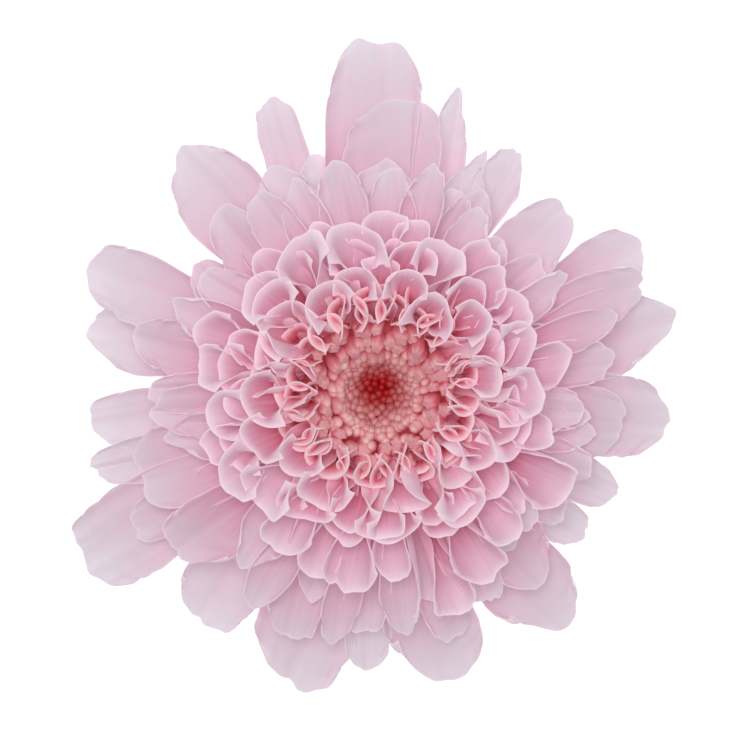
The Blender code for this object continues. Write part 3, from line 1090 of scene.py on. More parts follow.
FOURTH = Layer(
    name="small_cups",
    florets=(
        Floret(7, 15.2, 3.8, Kind.CUP),
        Floret(20, 16.0, 3.2, Kind.TUBE, 0.6),
        Floret(36, 16.4, 3.8, Kind.CUP),
        Floret(56, 13.9, 4.6, Kind.CUP, 0.8),
        Floret(76, 15.1, 4.0, Kind.CUP),
        Floret(88, 15.8, 3.2, Kind.TUBE, -0.8),
        Floret(101, 15.2, 3.9, Kind.CUP),
        Floret(121, 14.6, 4.8, Kind.CUP, 0.6),
        Floret(144, 16.3, 5.5, Kind.CUP),
        Floret(160, 15.6, 3.2, Kind.TUBE, 0.6),
        Floret(172, 15.4, 3.6, Kind.TUBE, -0.6),
        Floret(186, 16.7, 5.2, Kind.CUP),
        Floret(203, 17.6, 4.6, Kind.CUP),
        Floret(221, 15.2, 4.2, Kind.CUP, 0.6),
        Floret(241, 16.2, 5.0, Kind.CUP),
        Floret(259, 17.8, 4.6, Kind.CUP),
        Floret(275, 18.8, 5.0, Kind.CUP, -0.4),
        Floret(286, 15.4, 4.0, Kind.TUBE, 0.8),
        Floret(296, 18.0, 3.8, Kind.CUP, -0.6),
        Floret(306, 19.6, 4.6, Kind.CUP),
        Floret(315, 15.4, 4.0, Kind.TUBE, 0.8),
        Floret(328, 16.6, 4.0, Kind.CUP),
        Floret(343, 17.8, 4.2, Kind.CUP),
        Floret(355, 17.2, 3.4, Kind.TUBE, -0.8),
    ),
    root_radius=8.6,
    root_height=11.0,
    root_slope=68,
    tip_slope=16,
    tip_height=18.2,
    middle_reach=16.5,
    fall=0.5,
    solid_cells=(3, 2),
    cells=(32, 26),
    thickness=0.22,
    finish=CUPPED_FINISH,
)

INNER = Layer(
    name="inner_quills",
    florets=(
        Floret(354, 12.4, 3.2, Kind.TUBE),
        Floret(14, 12.3, 3.0, Kind.TUBE),
        Floret(31, 11.2, 2.6, Kind.TUBE, -0.6),
        Floret(48, 11.6, 2.8, Kind.TUBE),
        Floret(63, 11.0, 2.6, Kind.TUBE, -0.6),
        Floret(78, 11.6, 2.8, Kind.TUBE),
        Floret(94, 11.2, 2.6, Kind.TUBE, -0.4),
        Floret(110, 11.9, 3.4, Kind.TUBE),
        Floret(130, 11.3, 3.2, Kind.TUBE),
        Floret(149, 11.0, 2.6, Kind.TUBE, -0.6),
        Floret(168, 11.2, 2.6, Kind.TUBE),
        Floret(187, 11.7, 3.4, Kind.TUBE),
        Floret(206, 13.0, 3.4, Kind.TUBE),
        Floret(220, 11.4, 2.6, Kind.TUBE, -0.6),
        Floret(235, 12.6, 3.8, Kind.TUBE),
        Floret(252, 11.6, 2.8, Kind.TUBE, -0.4),
        Floret(268, 12.4, 3.2, Kind.TUBE),
        Floret(284, 11.2, 2.6, Kind.TUBE, -0.6),
        Floret(300, 11.6, 3.0, Kind.TUBE),
        Floret(319, 12.4, 3.2, Kind.TUBE),
        Floret(336, 12.4, 3.2, Kind.TUBE, 0.4),
    ),
    root_radius=9.3,
    root_height=11.4,
    root_slope=82,
    tip_slope=50,
    tip_height=19.4,
    middle_reach=11.8,
    fall=0.2,
    solid_cells=(3, 2),
    cells=(28, 24),
    thickness=0.22,
    finish=QUILL_FINISH,
)


def scattered(
    count: int, reach: float, width: float, kinds: tuple[Kind, ...], seed: int
) -> tuple[Floret, ...]:
    """A loose ring of small florets that fill in between two layers.

    Args:
        count: Number of florets.
        reach: Mean reach.
        width: Mean width.
        kinds: Forms that they take in turn.
        seed: Seed of their irregularities.

    Returns:
        The florets.
    """
    draw = random.Random(seed)
    made = []
    for number in range(count):
        made.append(
            Floret(
                angle=360 * (number + draw.uniform(-0.35, 0.35)) / count,
                reach=reach * draw.uniform(0.94, 1.06),
                width=width * draw.uniform(0.85, 1.15),
                kind=kinds[number % len(kinds)],
                lift=draw.uniform(-0.5, 0.5),
                sway=draw.uniform(-8, 8),
            )
        )
    return tuple(made)


UNDER_CUPS = Layer(
    name="under_cups",
    florets=scattered(20, 26.0, 6.0, (Kind.ROUND, Kind.FOLDED), 31),
    root_radius=7.2,
    root_height=9.6,
    root_slope=34,
    tip_slope=-14,
    tip_height=11.3,
    middle_reach=25.2,
    fall=0.6,
    solid_cells=(3, 2),
    cells=(30, 22),
    thickness=0.22,
    finish=SECOND_FINISH,
)

BETWEEN_CUPS = Layer(
    name="between_cups",
    florets=scattered(21, 18.9, 5.2, (Kind.CUP, Kind.SPOON), 32),
    root_radius=8.1,
    root_height=10.2,
    root_slope=58,
    tip_slope=4,
    tip_height=15.7,
    middle_reach=18.9,
    fall=0.6,
    solid_cells=(3, 2),
    cells=(28, 24),
    thickness=0.22,
    finish=CUPPED_FINISH,
)

BETWEEN_QUILLS = Layer(
    name="between_quills",
    florets=scattered(12, 13.0, 3.8, (Kind.TUBE,), 33),
    root_radius=9.0,
    root_height=10.8,
    root_slope=74,
    tip_slope=30,
    tip_height=18.1,
    middle_reach=13.9,
    fall=0.3,
    solid_cells=(3, 2),
    cells=(26, 24),
    thickness=0.2,
    finish=QUILL_FINISH,
)

LAYERS = (OUTER, SECOND, THIRD, FOURTH, INNER, UNDER_CUPS, BETWEEN_CUPS, BETWEEN_QUILLS)


def blend(values: Triple, at: Grid) -> Grid:
    """Reads three values given at 0, one half and 1 along a blade, smoothly between them.

    Args:
        values: The three values.
        at: Places along the blade.

    Returns:
        A value for each place.
    """
    first, middle, last = values
    near = first + (middle - first) * np.sin(np.minimum(at * 2, 1) * math.pi / 2)
    return near + (last - middle) * np.maximum(at * 2 - 1, 0) ** 2


def smooth_step(value: Grid) -> Grid:
    """A soft step of values from 0 at 0 to 1 at 1."""
    share = np.clip(value, 0, 1)
    return share * share * (3 - 2 * share)


def nearness(distance: Grid, length: float) -> Grid:
    """1 at no distance, falling evenly to 0 at a length."""
    return np.clip(1 - distance / length, 0, 1)


def past(place: Grid, start: float) -> Grid:
    """How far places from -1 to 1 are past a start on either side, 0 to 1."""
    return np.clip((np.abs(place) - start) / (1 - start), 0, 1)


def turned(side: Grid, rise: Grid, angle: Grid) -> tuple[Grid, Grid]:
    """Turns section points about the centre line.

    Args:
        side: How far each point is from it sideways.
        rise: How far it is from it towards the inner face.
        angle: Angle of the turn in radians.

    Returns:
        The turned points' side and rise.
    """
    return side * np.cos(angle) - rise * np.sin(angle), side * np.sin(angle) + rise * np.cos(angle)


class Blade:
    """One floret's curve in space, with its section in the solids and in full."""

    LINE_STEPS = 24  # points at which the centre line is measured
    SWELL_POWER = 1.1  # how late along its body a blade widens
    TIP_FULLNESS = 0.65  # share of a round tip's lost width that the finished one keeps
    BOWL_LENGTH = 3.4  # from the tip, over which it turns up
    BOWL_POWER = 1.6  # how late in that length it turns most
    MOUTH_LENGTH = 1.8  # from the tip, over which a tube widens into its mouth
    TIP_EDGE = 1.0  # from the tip, over which its edge turns out
    EDGE_TURN = 0.6  # how far it does for each 90 degrees of flare
    LOOSE_LENGTH = 12.0  # from the tip, over which the blade waves and twists

    MARGIN_START = 0.55  # where a margin starts to turn in, as a share of the half width
    MARGIN_POWER = 1.4  # how late in its width a margin turns most
    EDGE_START = 0.78  # where its edge starts to turn out and to have teeth
    CURLS = (0.2, 1.8)  # least and most turn of a margin, as shares of the form's
    FLARES = (0.5, 1.5)  # the same of an edge
    CLOSED_ARC = 320.0  # degrees past which margins have no room to curl
    CURLING_ARCS = 110.0  # degrees less over which they gain it
    TUBE_ARC = 215.0  # degrees past which a section counts as a tube
    SQUASH = 0.55  # how much flatter a tube gets where others hide it
    SQUASH_START = 2.4  # least distance from the tip at which that starts
    SQUASH_LENGTH = 3.5  # over which it is reached

    WAVES = (0.12, 0.36)  # least and most height of a margin's waves
    WAVE_LENGTHS = (3.2, 6.0)
    WAVE_GROWTH = 0.06  # height that they gain for each millimetre of half width
    WAVE_SHEAR = 1.5  # how much later they come at one margin than in the middle
    WAVE_POWER = 1.5  # how near the margins they stay
    FOLDS = (0.4, 1.0)  # least and most height of lengthwise folds, as shares of the form's
    WIDE_FOLDS = (1.8, 2.8)  # least and most half waves of them over a half width
    FINE_FOLDS = (4.5, 6.5)  # the same of the finer ones
    FINE_HEIGHT = 0.45  # their height, as a share of the wide ones'
    TWIST = 10.0  # most degrees that a flat blade twists
    FLARE_TWIST = 0.25  # degrees more for each degree of flare
    BOW = 0.03  # most that a blade bends sideways, as a share of its length

    ROUNDING = 0.985  # how much of a half circle the round tip's outline takes
    POINTING = 1.2  # how far a pointed tip's shoulders fall back, in half widths
    POINT_POWER = 1.3  # 1 for straight flanks
    RIPPLE = 0.09  # height of the tip's ripples, in half widths
    RIPPLES = (3, 6)  # radians of them over a half width
    OBLIQUE = 0.32  # most that one shoulder stands back further, in half widths
    FORWARD = 0.2  # most that the other one stands forward
    NOTCH_WIDTH = 0.16  # of the half width
    NOTCH_OFFSET = 0.35  # most that it stands off the middle, in half widths
    TIP_KNOTS = 11  # places across the tip that have a tooth's depth of their own
    NICK_KNOTS = 14  # the same along a margin
    NICK_CELL = 0.6  # tooth depth that would take a whole outermost cell
    NICK_SHARE = 0.55  # most of it that is taken

    def __init__(self, floret: Floret, layer: Layer, raised: float = 0.0, roll: float = 0.0) -> None:
        """Places the floret's root and tip.

        Args:
            floret: The floret.
            layer: Its layer.
            raised: How much it is raised to clear its neighbours.
            roll: Degrees that its middle is rolled to clear them.
        """
        self.floret = floret
        self.form = floret.kind.value
        self.layer = layer
        self.roll = math.radians(roll)
        extra = floret.reach - layer.middle_reach
        tip = layer.tip_height - layer.fall * extra + floret.lift + raised
        self.tip_height = max(tip, LOWEST_TIP + SOLID_THICKNESS)
        root = layer.root_height - ROOT_FALL * extra + ROOT_SHARE * floret.lift + raised
        self.root_height = max(root, LOWEST_ROOT)
        slope = layer.root_slope - SLOPE_FALL * extra + SLOPE_GAIN * floret.lift
        self.root_slope = math.radians(slope)
        self.tip_slope = math.radians(layer.tip_slope)
        self.turn, self.reach = self._plan_place()
        self.half_width = floret.width / 2
        self.length = max(self.reach - layer.root_radius, self.half_width * 2)
        line = self.centre_line(np.linspace(0, 1, self.LINE_STEPS))[0]
        self.span = float(np.linalg.norm(np.diff(line, axis=0), axis=1).sum())

    def _plan_place(self) -> Pair:
        """Finds where the tip stands, from what the viewer sees of it.

        Returns:
            Its angle and radius about the axis.
        """
        seen = math.radians(self.floret.angle)
        across = self.floret.reach * math.cos(seen)
        up = self.floret.reach * math.sin(seen) + (self.tip_height - HEART_HEIGHT) * math.sin(LEAN)
        up /= math.cos(LEAN)
        return math.atan2(up, across), math.hypot(across, up)

    def centre_line(self, at: Grid) -> tuple[Grid, Grid]:
        """Radius and height, and unit direction, along the curve from root to tip.

        Args:
            at: Places along the blade.

        Returns:
            Places and directions, two values each.
        """
        root = np.array((self.layer.root_radius, self.root_height))
        tip = np.array((self.reach, self.tip_height))
        length = float(np.linalg.norm(tip - root))
        leave = np.array((math.cos(self.root_slope), math.sin(self.root_slope)))
        arrive = np.array((math.cos(self.tip_slope), math.sin(self.tip_slope)))
        second = root + leave * length * ROOT_HANDLE
        third = tip - arrive * length * TIP_HANDLE
        at = at[..., None]
        spare = 1 - at
        place = spare**3 * root + 3 * spare**2 * at * second + 3 * spare * at**2 * third + at**3 * tip
        way = 3 * spare**2 * (second - root) + 6 * spare * at * (third - second)
        way = way + 3 * at**2 * (tip - third)
        return place, way / np.linalg.norm(way, axis=-1, keepdims=True)

    def width_share(self, along: Grid) -> Grid:
        """Width along the solid's blade.

        Args:
            along: Places from 0 to 1 along it.

        Returns:
            Shares of its widest.
        """
        form = self.form
        rise = smooth_step(along / form.widest)
        drop = np.clip((along - form.widest) / (1 - form.widest), 0, 1)
        return (form.root + (1 - form.root) * rise) * (1 - (1 - form.tip) * drop**2)

    def full_width_share(self, along: Grid) -> Grid:
        """Width along the finished blade, which is fuller and ends in a rounder tip.

        Args:
            along: Places from 0 to 1 along it.

        Returns:
            Shares of its widest.
        """
        form = self.form
        root, full = form.body
        rise = np.sin(np.clip(along / full, 0, 1) * math.pi / 2) ** self.SWELL_POWER
        drop = np.clip((along - form.widest) / (1 - form.widest), 0, 1)
        left = form.tip + (1 - form.tip) * self.TIP_FULLNESS * (1 - form.point)
        return (root + (1 - root) * rise) * (1 - (1 - left) * drop**2)

    def lift_off(self, at: Grid, along: Grid, side: Grid, rise: Grid) -> Grid:
        """Puts section points where they belong in space.

        Args:
            at: Place of each point along the centre line.
            along: Place along the blade before its tip is rounded.
            side: How far each point is from the centre line sideways.
            rise: How far it is from it towards the inner face.

        Returns:
            The points in metres.
        """
        place, way = self.centre_line(at)
        rolled_side, rolled_rise = turned(side, rise, self.roll * np.sin(math.pi * along))
        out = place[..., 0] - way[..., 1] * rolled_rise
        height = place[..., 1] + way[..., 0] * rolled_rise
        azimuth = self.turn + math.radians(self.floret.sway) * (1 - along) ** 2
        x = out * np.cos(azimuth) + rolled_side * np.sin(azimuth)
        y = out * np.sin(azimuth) - rolled_side * np.cos(azimuth)
        return np.stack((x, y, height), axis=-1) * MM

    def solid_points(self, across: Grid, along: Grid) -> Grid:
        """Points of the solid's blade, whose section is one arc.

        Args:
            across: Places from -1 to 1 across the blade.
            along: Places from 0 to 1 along it.

        Returns:
            The points in metres.
        """
        form = self.form
        fall_back = form.shoulder * self.half_width / self.length
        half_arc = np.radians(blend(form.arcs, along)) / 2
        widest_arc = math.radians(form.arcs[1]) / 2
        spread = self.half_width / math.sin(min(widest_arc, math.pi / 2)) * widest_arc
        radius = spread * self.width_share(along) / half_arc
        side = radius * np.sin(half_arc * across)
        rise = radius * (1 - np.cos(half_arc * across))
        rise = rise + form.lip * np.clip((along - LIP_START) / (1 - LIP_START), 0, 1) ** 2
        return self.lift_off(along * (1 - fall_back * across**2), along, side, rise)

    def full_points(self, across: Grid, along: Grid, draw: random.Random) -> tuple[Grid, Grid]:
        """Points of the finished blade: its margins curl and its tip is rounded or cut.

        Args:
            across: Places from -1 to 1, one for each column.
            along: Places from 0 to 1, one for each row.
            draw: Source of the blade's own small irregularities.

        Returns:
            The points in metres, and their distance from the tip in millimetres, by row and
            column.
        """
        form = self.form
        columns = across[None, :]
        rows = along[:, None]
        from_tip = (1 - rows) * self.span
        side, rise = self._section(across, along, draw)
        grow = 1 + form.mouth * nearness(from_tip, self.MOUTH_LENGTH) ** 2
        centre = rise.mean(axis=1, keepdims=True)
        side = side * grow
        rise = centre + (rise - centre) * grow
        loose = smooth_step(1 - from_tip / self.LOOSE_LENGTH)
        rise = rise + self._waves(columns, from_tip, draw) * loose
        rise = rise - self._folds(columns, draw) * rows
        twist = math.radians(draw.uniform(-1, 1) * (self.TWIST + self.FLARE_TWIST * form.flare)) * loose
        side, rise = turned(side, rise, twist)
        side = side + draw.uniform(-self.BOW, self.BOW) * self.length * np.sin(math.pi * rows)
        rise = rise + form.bowl * nearness(from_tip, self.BOWL_LENGTH) ** self.BOWL_POWER
        rise = rise - nearness(from_tip, self.TIP_EDGE) ** 2 * form.flare / 90 * self.EDGE_TURN
        at = rows * (1 - self._tip_outline(across, draw)[None, :] * rows**3)
        points = self.lift_off(at, np.broadcast_to(rows, at.shape), side, rise)
        return points, np.broadcast_to((1 - at) * self.span, at.shape)

    def _waves(self, columns: Grid, from_tip: Grid, draw: random.Random) -> Grid:
        """Height of the margins' waves.

        Args:
            columns: Places from -1 to 1 across the blade, in one row.
            from_tip: Distances from the tip in millimetres, in one column.
            draw: Source of their height, length and place.

        Returns:
            A height by row and column.
        """
        height = draw.uniform(*self.WAVES) + self.WAVE_GROWTH * self.half_width
        start = draw.uniform(0, math.tau)
        length = draw.uniform(*self.WAVE_LENGTHS)
        waves = np.sin(from_tip / length * math.tau + start + self.WAVE_SHEAR * columns)
        return height * waves * np.abs(columns) ** self.WAVE_POWER

    def _folds(self, columns: Grid, draw: random.Random) -> Grid:
        """Height of the lengthwise folds, wide ones with finer ones on them.

        Args:
            columns: Places from -1 to 1 across the blade.
            draw: Source of their height, number and place.

        Returns:
            A height for each place.
        """
        height = draw.uniform(*self.FOLDS) * self.form.crease
        wide = np.cos(draw.uniform(*self.WIDE_FOLDS) * math.pi * columns + draw.uniform(-1, 1))
        fine = np.cos(draw.uniform(*self.FINE_FOLDS) * math.pi * columns + draw.uniform(-3, 3))
        return height * (wide + self.FINE_HEIGHT * fine) * (1 - columns**2)

    def _section(self, across: Grid, along: Grid, draw: random.Random) -> tuple[Grid, Grid]:
        """The section of every row, followed outwards from its middle.

        Args:
            across: Places from -1 to 1, one for each column.
            along: Places from 0 to 1, one for each row.
            draw: Source of the margins' small irregularities.

        Returns:
            Side and rise of each point, by row and column.
        """
        form = self.form
        middles = (across[1:] + across[:-1]) / 2
        left = middles < 0
        distances, degrees = zip(*form.opening)
        arcs = np.interp((1 - along) * self.span, distances, degrees)
        open_share = np.clip((self.CLOSED_ARC - arcs) / self.CURLING_ARCS, 0, 1)[:, None]
        tube_start = max(float(np.interp(self.TUBE_ARC, degrees, distances)), self.SQUASH_START)
        squashed = smooth_step(((1 - along) * self.span - tube_start) / self.SQUASH_LENGTH)
        flatter = (1 - self.SQUASH * squashed)[:, None]
        curls = [
            math.radians(form.margin * draw.uniform(*self.CURLS) + extra) for extra in self.floret.curls
        ]
        flares = [math.radians(form.flare * draw.uniform(*self.FLARES)) for _ in curls]
        curl = np.where(left, *curls) * past(middles, self.MARGIN_START) ** self.MARGIN_POWER
        curl = curl - np.where(left, *flares) * past(middles, self.EDGE_START)
        turn = np.radians(arcs)[:, None] / 2 * middles + np.where(left, -curl, curl) * open_share
        step = np.diff(across)[None, :] * (1 - self._nicks(along, middles, draw))
        zero = np.zeros((len(along), 1))
        side = np.concatenate((zero, np.cumsum(np.cos(turn) * step, axis=1)), axis=1)
        rise = np.concatenate((zero, np.cumsum(np.sin(turn) * step, axis=1)), axis=1)
        middle = len(across) // 2
        side -= side[:, middle : middle + 1]
        rise -= rise[:, middle : middle + 1]
        share = self.full_width_share(along)
        widest = ((side.max(axis=1) - side.min(axis=1)) * share).max()
        scale = (self.half_width * 2 * self.layer.fuller / widest * share)[:, None]
        return side * scale, rise * scale * flatter

    def _nicks(self, along: Grid, middles: Grid, draw: random.Random) -> Grid:
        """How much of each margin's outermost cells is missing.

        Args:
            along: Places from 0 to 1, one for each row.
            middles: Places from -1 to 1 of the cells' middles.
            draw: Source of the nicks.

        Returns:
            A share of each cell's width, by row and cell.
        """
        knots = np.linspace(0, 1, self.NICK_KNOTS)
        depth = self.form.teeth / self.NICK_CELL
        left, right = (
            np.interp(along, knots, [depth * draw.uniform(0.0, self.NICK_SHARE) for _ in knots])
            for _ in range(2)
        )
        return np.where(middles < 0, left[:, None], right[:, None]) * past(middles, self.EDGE_START)

    def _tip_outline(self, across: Grid, draw: random.Random) -> Grid:
        """How far each column stops short of the tip, as a share of the blade's length.

        Args:
            across: Places from -1 to 1 across the blade.
            draw: Source of the tip's own small irregularities.

        Returns:
            A share for each column.
        """
        form = self.form
        half = self.half_width
        rounded = 1 - np.sqrt(1 - self.ROUNDING * across**2)
        pointed = np.abs(across) ** self.POINT_POWER * form.point * self.POINTING
        back = (rounded * (1 - form.point) * form.cut + pointed) * half
        count = draw.uniform(*self.RIPPLES)
        ripple = self.RIPPLE * half * np.sin(across * count + draw.uniform(0, math.tau))
        oblique = draw.uniform(-self.OBLIQUE, self.OBLIQUE) * half * (across + across**2)
        back = back + np.maximum(oblique, -self.FORWARD * half)
        knots = np.linspace(-1, 1, self.TIP_KNOTS)
        teeth = np.interp(across, knots, [form.teeth * draw.uniform(0, 1) ** 2 for _ in knots])
        notch = draw.uniform(-self.NOTCH_OFFSET, self.NOTCH_OFFSET)
        from_notch = (across - notch) / self.NOTCH_WIDTH
        back = back + ripple + teeth + self.floret.notch * np.exp(-(from_notch**2))
        return (back - back.min()) / self.span


class Settling:
    """Raises or rolls each floret as the solids do, the least that clears its neighbours."""

    def __init__(self) -> None:
        """Starts with no floret placed."""
        self.placed: list[BVHTree] = []

    def settled(self, layer: Layer) -> list[Blade]:
        """Places a layer's florets, every second one first.

        Args:
            layer: The layer.

        Returns:
            The florets' blades.
        """
        return [self._settle(floret, layer) for floret in layer.florets[::2] + layer.florets[1::2]]

    def _settle(self, floret: Floret, layer: Layer) -> Blade:
        """Finds the smallest raise and roll with the fewest crossings.

        Args:
            floret: The floret.
            layer: Its layer.

        Returns:
            The floret's blade, raised and rolled so.
        """
        best = None
        for raised in RAISES:
            for roll in ROLLS:
                blade = Blade(floret, layer, raised, roll)
                tree, found = self._try(blade, layer.solid_cells)
                if best is None or found < best[0]:
                    best = (found, blade, tree)
                if best[0] == 0:
                    break
            if best[0] == 0:
                break
        self.placed.append(best[2])
        return best[1]

    def _try(self, blade: Blade, cells: tuple[int, int]) -> tuple[BVHTree, int]:
        """Builds the solid's plain blade and counts where it crosses those placed.

        Args:
            blade: The blade.
            cells: Faces along and across it.

        Returns:
            Its tree and the number of its faces that cross another blade outside the core.
        """
        bm = bmesh.new()
        bmesh.ops.create_grid(bm, x_segments=cells[1], y_segments=cells[0], size=1.0)
        flat = np.array([vertex.co[:] for vertex in bm.verts])
        for vertex, point in zip(bm.verts, blade.solid_points(flat[:, 0], flat[:, 1] / 2 + 0.5)):
            vertex.co = point
        bmesh.ops.triangulate(bm, faces=bm.faces, quad_method="SHORT_EDGE")
        bmesh.ops.solidify(bm, geom=bm.faces[:], thickness=SOLID_THICKNESS * MM)
        bm.faces.ensure_lookup_table()
        tree = BVHTree.FromBMesh(bm)
        found = 0
        for other in self.placed:
            for mine, _ in tree.overlap(other):
                if bm.faces[mine].calc_center_median().xy.length > SOLID_CORE_RADIUS * MM:
                    found += 1
        bm.free()
        return tree, found


def seat(obj: bpy.types.Object, material: bpy.types.Material, node: str) -> None:
    """Gives a finished piece its material and the solid that it stands for.

    Args:
        obj: The piece.
        material: Its only material.
        node: The solid that it replaces.
    """
    obj.data.materials.clear()
    obj.data.materials.append(material)
    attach(obj, BODY)
    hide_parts(node)
    obj.data.update()
    triangles = sum(len(face.vertices) - 2 for face in obj.data.polygons)
    LOG.info("%s: %d triangles", obj.name, triangles)


@dataclass
class RayFlorets:
    """All pink ray florets.

    Attributes:
        layers: The layers, outermost first.
        seed: Seed of the florets' small irregularities.
    """

    layers: tuple[Layer, ...] = LAYERS
    seed: int = 20

    MARGIN_WALL: ClassVar[float] = 0.5  # thickness at the margin, as a share of the blade's
    WALL_POWER: ClassVar[int] = 4  # how late towards its margin a blade thins
    RIM_ANGLE: ClassVar[float] = 55.0
    EVEN_SHARE: ClassVar[float] = 0.55  # 1 for columns of equal width, less for narrow margins

    def build(self) -> None:
        """Builds each layer as one piece."""
        settling = Settling()
        for number, layer in enumerate(self.layers):
            obj = self._layer(layer, settling.settled(layer), number)
            seat(obj, layer.finish.build(), "ray_florets")

    def _layer(self, layer: Layer, blades: list[Blade], number: int) -> bpy.types.Object:
        """Shapes a copy of the flat blade for each floret and gives all of them their wall.

        Args:
            layer: The layer.
            blades: Its florets' blades.
            number: The layer's number.

        Returns:
            The joined piece.
        """
        draw = random.Random(self.seed + number)
        stock = self._stock(layer.cells)
        flat = Bench.points(stock.data)
        row = np.rint((flat[:, 1] + 1) / 2 * layer.cells[0]).astype(int)
        column = np.rint((flat[:, 0] + 1) / 2 * layer.cells[1]).astype(int)
        even = np.linspace(-1, 1, layer.cells[1] + 1)
        across = self.EVEN_SHARE * even + (1 - self.EVEN_SHARE) * even * (3 - even**2) / 2
        along = np.linspace(0, 1, layer.cells[0] + 1)
        parts = []
        for blade in blades:
            part = Bench.copy(stock, layer.name)
            points, from_tip = blade.full_points(across, along, draw)
            Bench.set_points(part.data, points[row, column])
            Bench.mark(part.data, "inward", from_tip[row, column])
            Bench.mark(part.data, "from_end", (1 - along[row]) * blade.span)
            Bench.mark(part.data, "tone", np.full(len(row), draw.uniform(-1, 1) - blade.floret.blush))
            parts.append(part)
        bpy.data.objects.remove(stock, do_unlink=True)
        joined = Bench.join(parts, layer.name)
        inner_points = len(joined.data.vertices)
        Bench.apply(
            joined,
            "SOLIDIFY",
            thickness=layer.thickness * MM,
            offset=-1.0,
            vertex_group="wall",
            thickness_vertex_group=self.MARGIN_WALL,
        )
        order = np.arange(len(joined.data.vertices))
        Bench.mark(joined.data, "underside", (order >= inner_points).astype(float))
        Bench.smooth(joined, self.RIM_ANGLE)
        return joined

    @classmethod
    def _stock(cls, cells: tuple[int, int]) -> bpy.types.Object:
        """The flat blade that a layer's florets are shaped from, thinner towards its margin.

        Args:
            cells: Faces along and across it.

        Returns:
            The blade.
        """
        stock = Bench.grid(cells)
        wall = stock.vertex_groups.new(name="wall")
        for vertex in stock.data.vertices:
            edge = max(abs(vertex.co.x), vertex.co.y)
            wall.add([vertex.index], 1 - max(edge, 0.0) ** cls.WALL_POWER, "REPLACE")
        return stock


@dataclass
class Receptacle:
    """The ring-shaped core that the ray florets grow from.

    Attributes:
        foot: Radius and height of its lower face.
        waist: Radius and height of its waist.
        belly: Radius and height where it is widest.
        shoulder: Radius and height of its top.
        well: Radius and height of the hollow's rim.
        floor: Radius and height of the hollow's floor.
        sides: Number of sides.
    """

    foot: Pair = (6.3, 7.2)
    waist: Pair = (8.2, 8.2)
    belly: Pair = (12.0, 11.2)
    shoulder: Pair = (9.8, 14.4)
    well: Pair = (7.9, 14.2)
    floor: Pair = (7.0, 12.45)
    sides: int = 64

    def build(self) -> None:
        """Builds the receptacle as one piece."""
        profile = (self.foot, self.waist, self.belly, self.shoulder, self.well, self.floor)
        core = Bench.turned("receptacle", profile, self.sides)
        Bench.apply(core, "BEVEL", width=0.5 * MM, segments=3, limit_method="ANGLE")
        Bench.smooth(core, 50)
        graph = Graph("receptacle")
        place = graph.place()
        cells = graph.node("TexVoronoi", {}, {"Vector": place, "Scale": 900.0})
        colour = graph.mix(cells, srgb(226, 110, 128), srgb(234, 150, 164))
        relief = graph.bump(cells, 0.4, 0.0002)
        material = graph.shade(Base_Color=colour, Roughness=0.6, Normal=relief)
        seat(core, material, "ray_florets")


@dataclass(frozen=True)
class BudForm:
    """One floret of the disc, 1 wide and long.

    Attributes:
        sides: Number of its sides.
        lobe: Depth of its five lobes, as a share of the radius.
        top: Height at which its tip is flattened.
        dimple: Depth of the dimple in the tip.
        slant: How much higher one side ends than the other, as a slope.
        paleness: How much of the pale tip's colour its tip takes.
    """

    sides: int
    lobe: float
    top: float
    dimple: float
    slant: float
    paleness: float


class Bud(Enum):
    """The kinds of disc floret."""

    CLOSED = BudForm(10, 0.18, 1.0, 0.0, 0.0, 1.0)
    YOUNG = BudForm(20, 0.22, 0.94, 0.072, 0.1, 0.86)


@dataclass(frozen=True)
class BudRing:
    """One ring of larger florets round the closed ones.

    Attributes:
        count: Number of florets.
        radius: Radius of their feet.
        height: Height of their feet.
        width: Width of a floret.
        length: Its length.
        incurve: How far it leans inwards, as a slope.
        droop: How far it leans towards -Y, as a slope.
        bud: Its kind.
    """

    count: int
    radius: float
    height: float
    width: float
    length: float
    incurve: float
    droop: float
    bud: Bud


